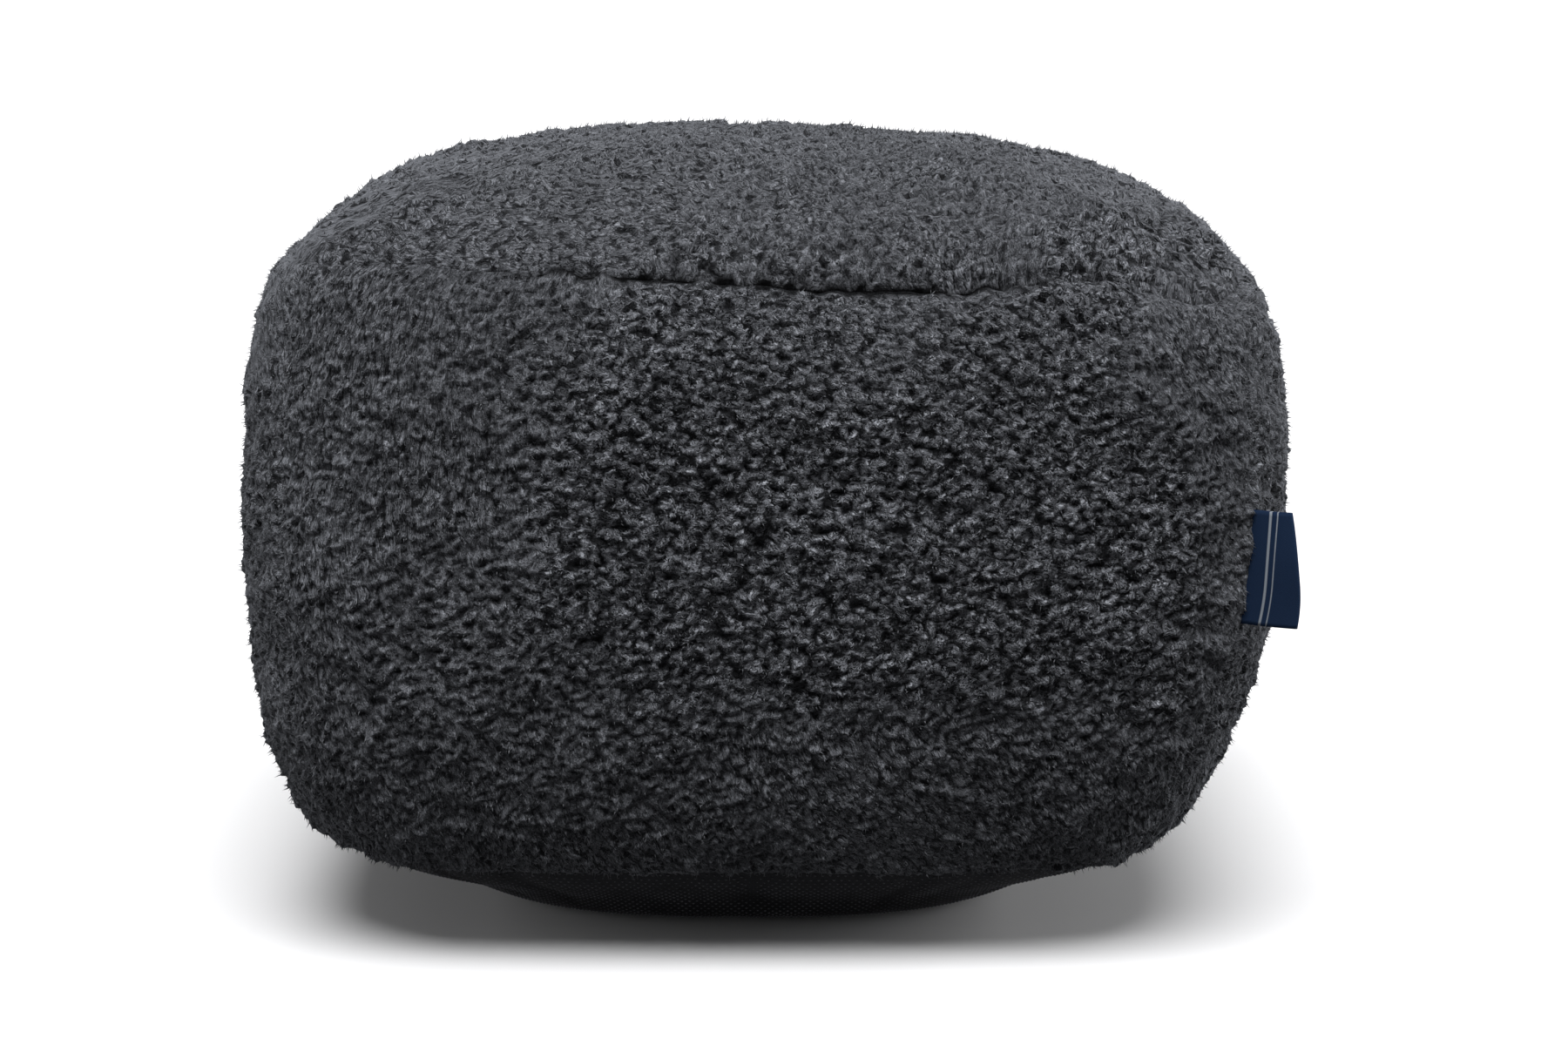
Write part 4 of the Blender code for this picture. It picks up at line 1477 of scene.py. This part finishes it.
def woven_line(tree, along, start, width):
    """1 on a line across the label and 0 beside it."""
    away = calculate(tree, "ABSOLUTE", calculate(tree, "SUBTRACT", along, start))
    return ranged(tree, away, width / 2 + LINE_EDGE, width / 2 - LINE_EDGE)


def label_finish():
    made, tree, shader = finish("navy_weave", 0.75)
    cloth = stored(tree, "cloth", "Vector")
    weave = from_group(tree, WOVEN, Cloth=cloth, Threads=1.9)
    along = parts_of(tree, cloth)["X"]
    lines = calculate(tree, "MAXIMUM", *[woven_line(tree, along, *line) for line in WOVEN_LINES])
    mixed = place_node(tree, "Mix", {"data_type": "RGBA"}, Factor=lines, i6=NAVY, i7=PALE_THREAD)
    light = ranged(tree, weave["Thread"], low=0.65, high=1.35)
    feed(
        tree, shader,
        Base_Color=scaled(tree, mixed.outputs[2], light), Normal=raised(tree, weave["Height"], 0.6, 0.00025),
    )
    return made


LABEL = label_finish()
label = piece_from("woven_label", label_points, label_faces, LABEL)
store(label, "cloth", label_cloth)
print("Finish:", LABEL.name)

# %% [markdown]
# ## Floor, light and camera
# The stool stands on a plain white floor. A broad soft light comes from overhead and a little from the front,
# with two weak lamps at the sides. The floor is lit to plain white, yet the lower half of the real stool stays
# dark, so this floor throws no light back on it. The camera is a long lens a little above the stool, looking
# down by ten degrees.

# %% Stage
FLOOR_DROP, FLOOR_SIZE = 0.0006, 60
AIM_HEIGHT = 0.2
AMBIENT, WALL = 0.155, 1.05
Lamp = namedtuple("Lamp", "name kind x y z size power")
LAMPS = (
    Lamp("overhead", "SUN", -0.02, -0.37, 1.0, math.radians(42), 4.7),
    Lamp("low_left", "AREA", -1.3, -0.1, 0.28, 0.8, 5),
    Lamp("low_right", "AREA", 1.3, 0.2, 0.28, 0.8, 13),
)


def model_floor():
    bpy.ops.mesh.primitive_plane_add(size=FLOOR_SIZE, location=(0, 0, -FLOOR_DROP))
    floor = bpy.context.object
    floor.name = "floor"
    bpy.ops.object.transform_apply(location=True)
    paint = bpy.data.materials.new("floor_paint")
    paint.use_nodes = True
    shader = paint.node_tree.nodes["Principled BSDF"]
    shader.inputs["Base Color"].default_value = (0.80, 0.80, 0.81, 1)
    shader.inputs["Roughness"].default_value = 0.9
    floor.data.materials.append(paint)
    floor.visible_diffuse = False
    return floor


def hang(row):
    """A lamp that points at the middle of the stool and isn't seen itself."""
    data = bpy.data.lights.new(row.name, row.kind)
    data.energy = row.power
    setattr(data, "angle" if row.kind == "SUN" else "size", row.size)
    lamp = bpy.data.objects.new(row.name, data)
    lamp.location = (row.x, row.y, row.z)
    lamp.rotation_euler = (math.atan2(math.hypot(row.x, row.y), row.z - AIM_HEIGHT), 0, math.atan2(row.x, -row.y))
    lamp.visible_camera = False
    bpy.context.scene.collection.objects.link(lamp)


def studio():
    """A weak even light from all round, in front of a wall that the camera sees as plain white."""
    world = bpy.data.worlds.new("studio")
    world.use_nodes = True
    tree = world.node_tree
    light = tree.nodes["Background"]
    light.inputs["Color"].default_value = (1, 1, 1, 1)
    light.inputs["Strength"].default_value = AMBIENT
    wall = place_node(tree, "Background", Color=(1, 1, 1, 1), Strength=WALL)
    seen = place_node(tree, "LightPath").outputs["Is Camera Ray"]
    both = place_node(tree, "MixShader", i0=seen, i1=light.outputs[0], i2=wall.outputs[0])
    feed(tree, tree.nodes["World Output"], Surface=both.outputs[0])
    return world


floor = model_floor()
for row in LAMPS:
    hang(row)
bpy.context.scene.world = studio()
bpy.context.scene.view_settings.view_transform = "Standard"
print("Lamps:", [row.name for row in LAMPS])

# %% Camera
lens = bpy.data.cameras.new("camera")
lens.lens, lens.sensor_width = 86.1, 36.0
camera = bpy.data.objects.new("camera", lens)
camera.location = (0.0165, -1.7234, 0.4634)
camera.rotation_euler = (math.radians(80), 0, 0)
bpy.context.scene.collection.objects.link(camera)
bpy.context.scene.camera = camera
print("Camera at", tuple(camera.location))

# %% [markdown]
# ## Handing the pieces over
# Each piece rides on the one rigid body, and the CAD node that it stands for is hidden.

# %% Ride and replace
pieces = [(body, "filled_body", "fleece"), (top, "top_panel", "fleece")]
pieces += [(crust, "top_panel" if crust.name == "pile_top" else "filled_body", "fleece") for crust in crusts]
pieces += [(fibres_sides, "filled_body", "fleece"), (fibres_top, "top_panel", "fleece")]
pieces += [(base, "base_panel", "grip_cloth"), (dots, "base_panel", "grip_cloth")]
pieces += [(label, "side_label", "label_weave")]
for piece, node, finish_slot in pieces:
    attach(piece, "root")
    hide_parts(node)

print("Triangles in all:", sum(len(p.data.loops) - 2 * len(p.data.polygons) for p, _, _ in pieces))
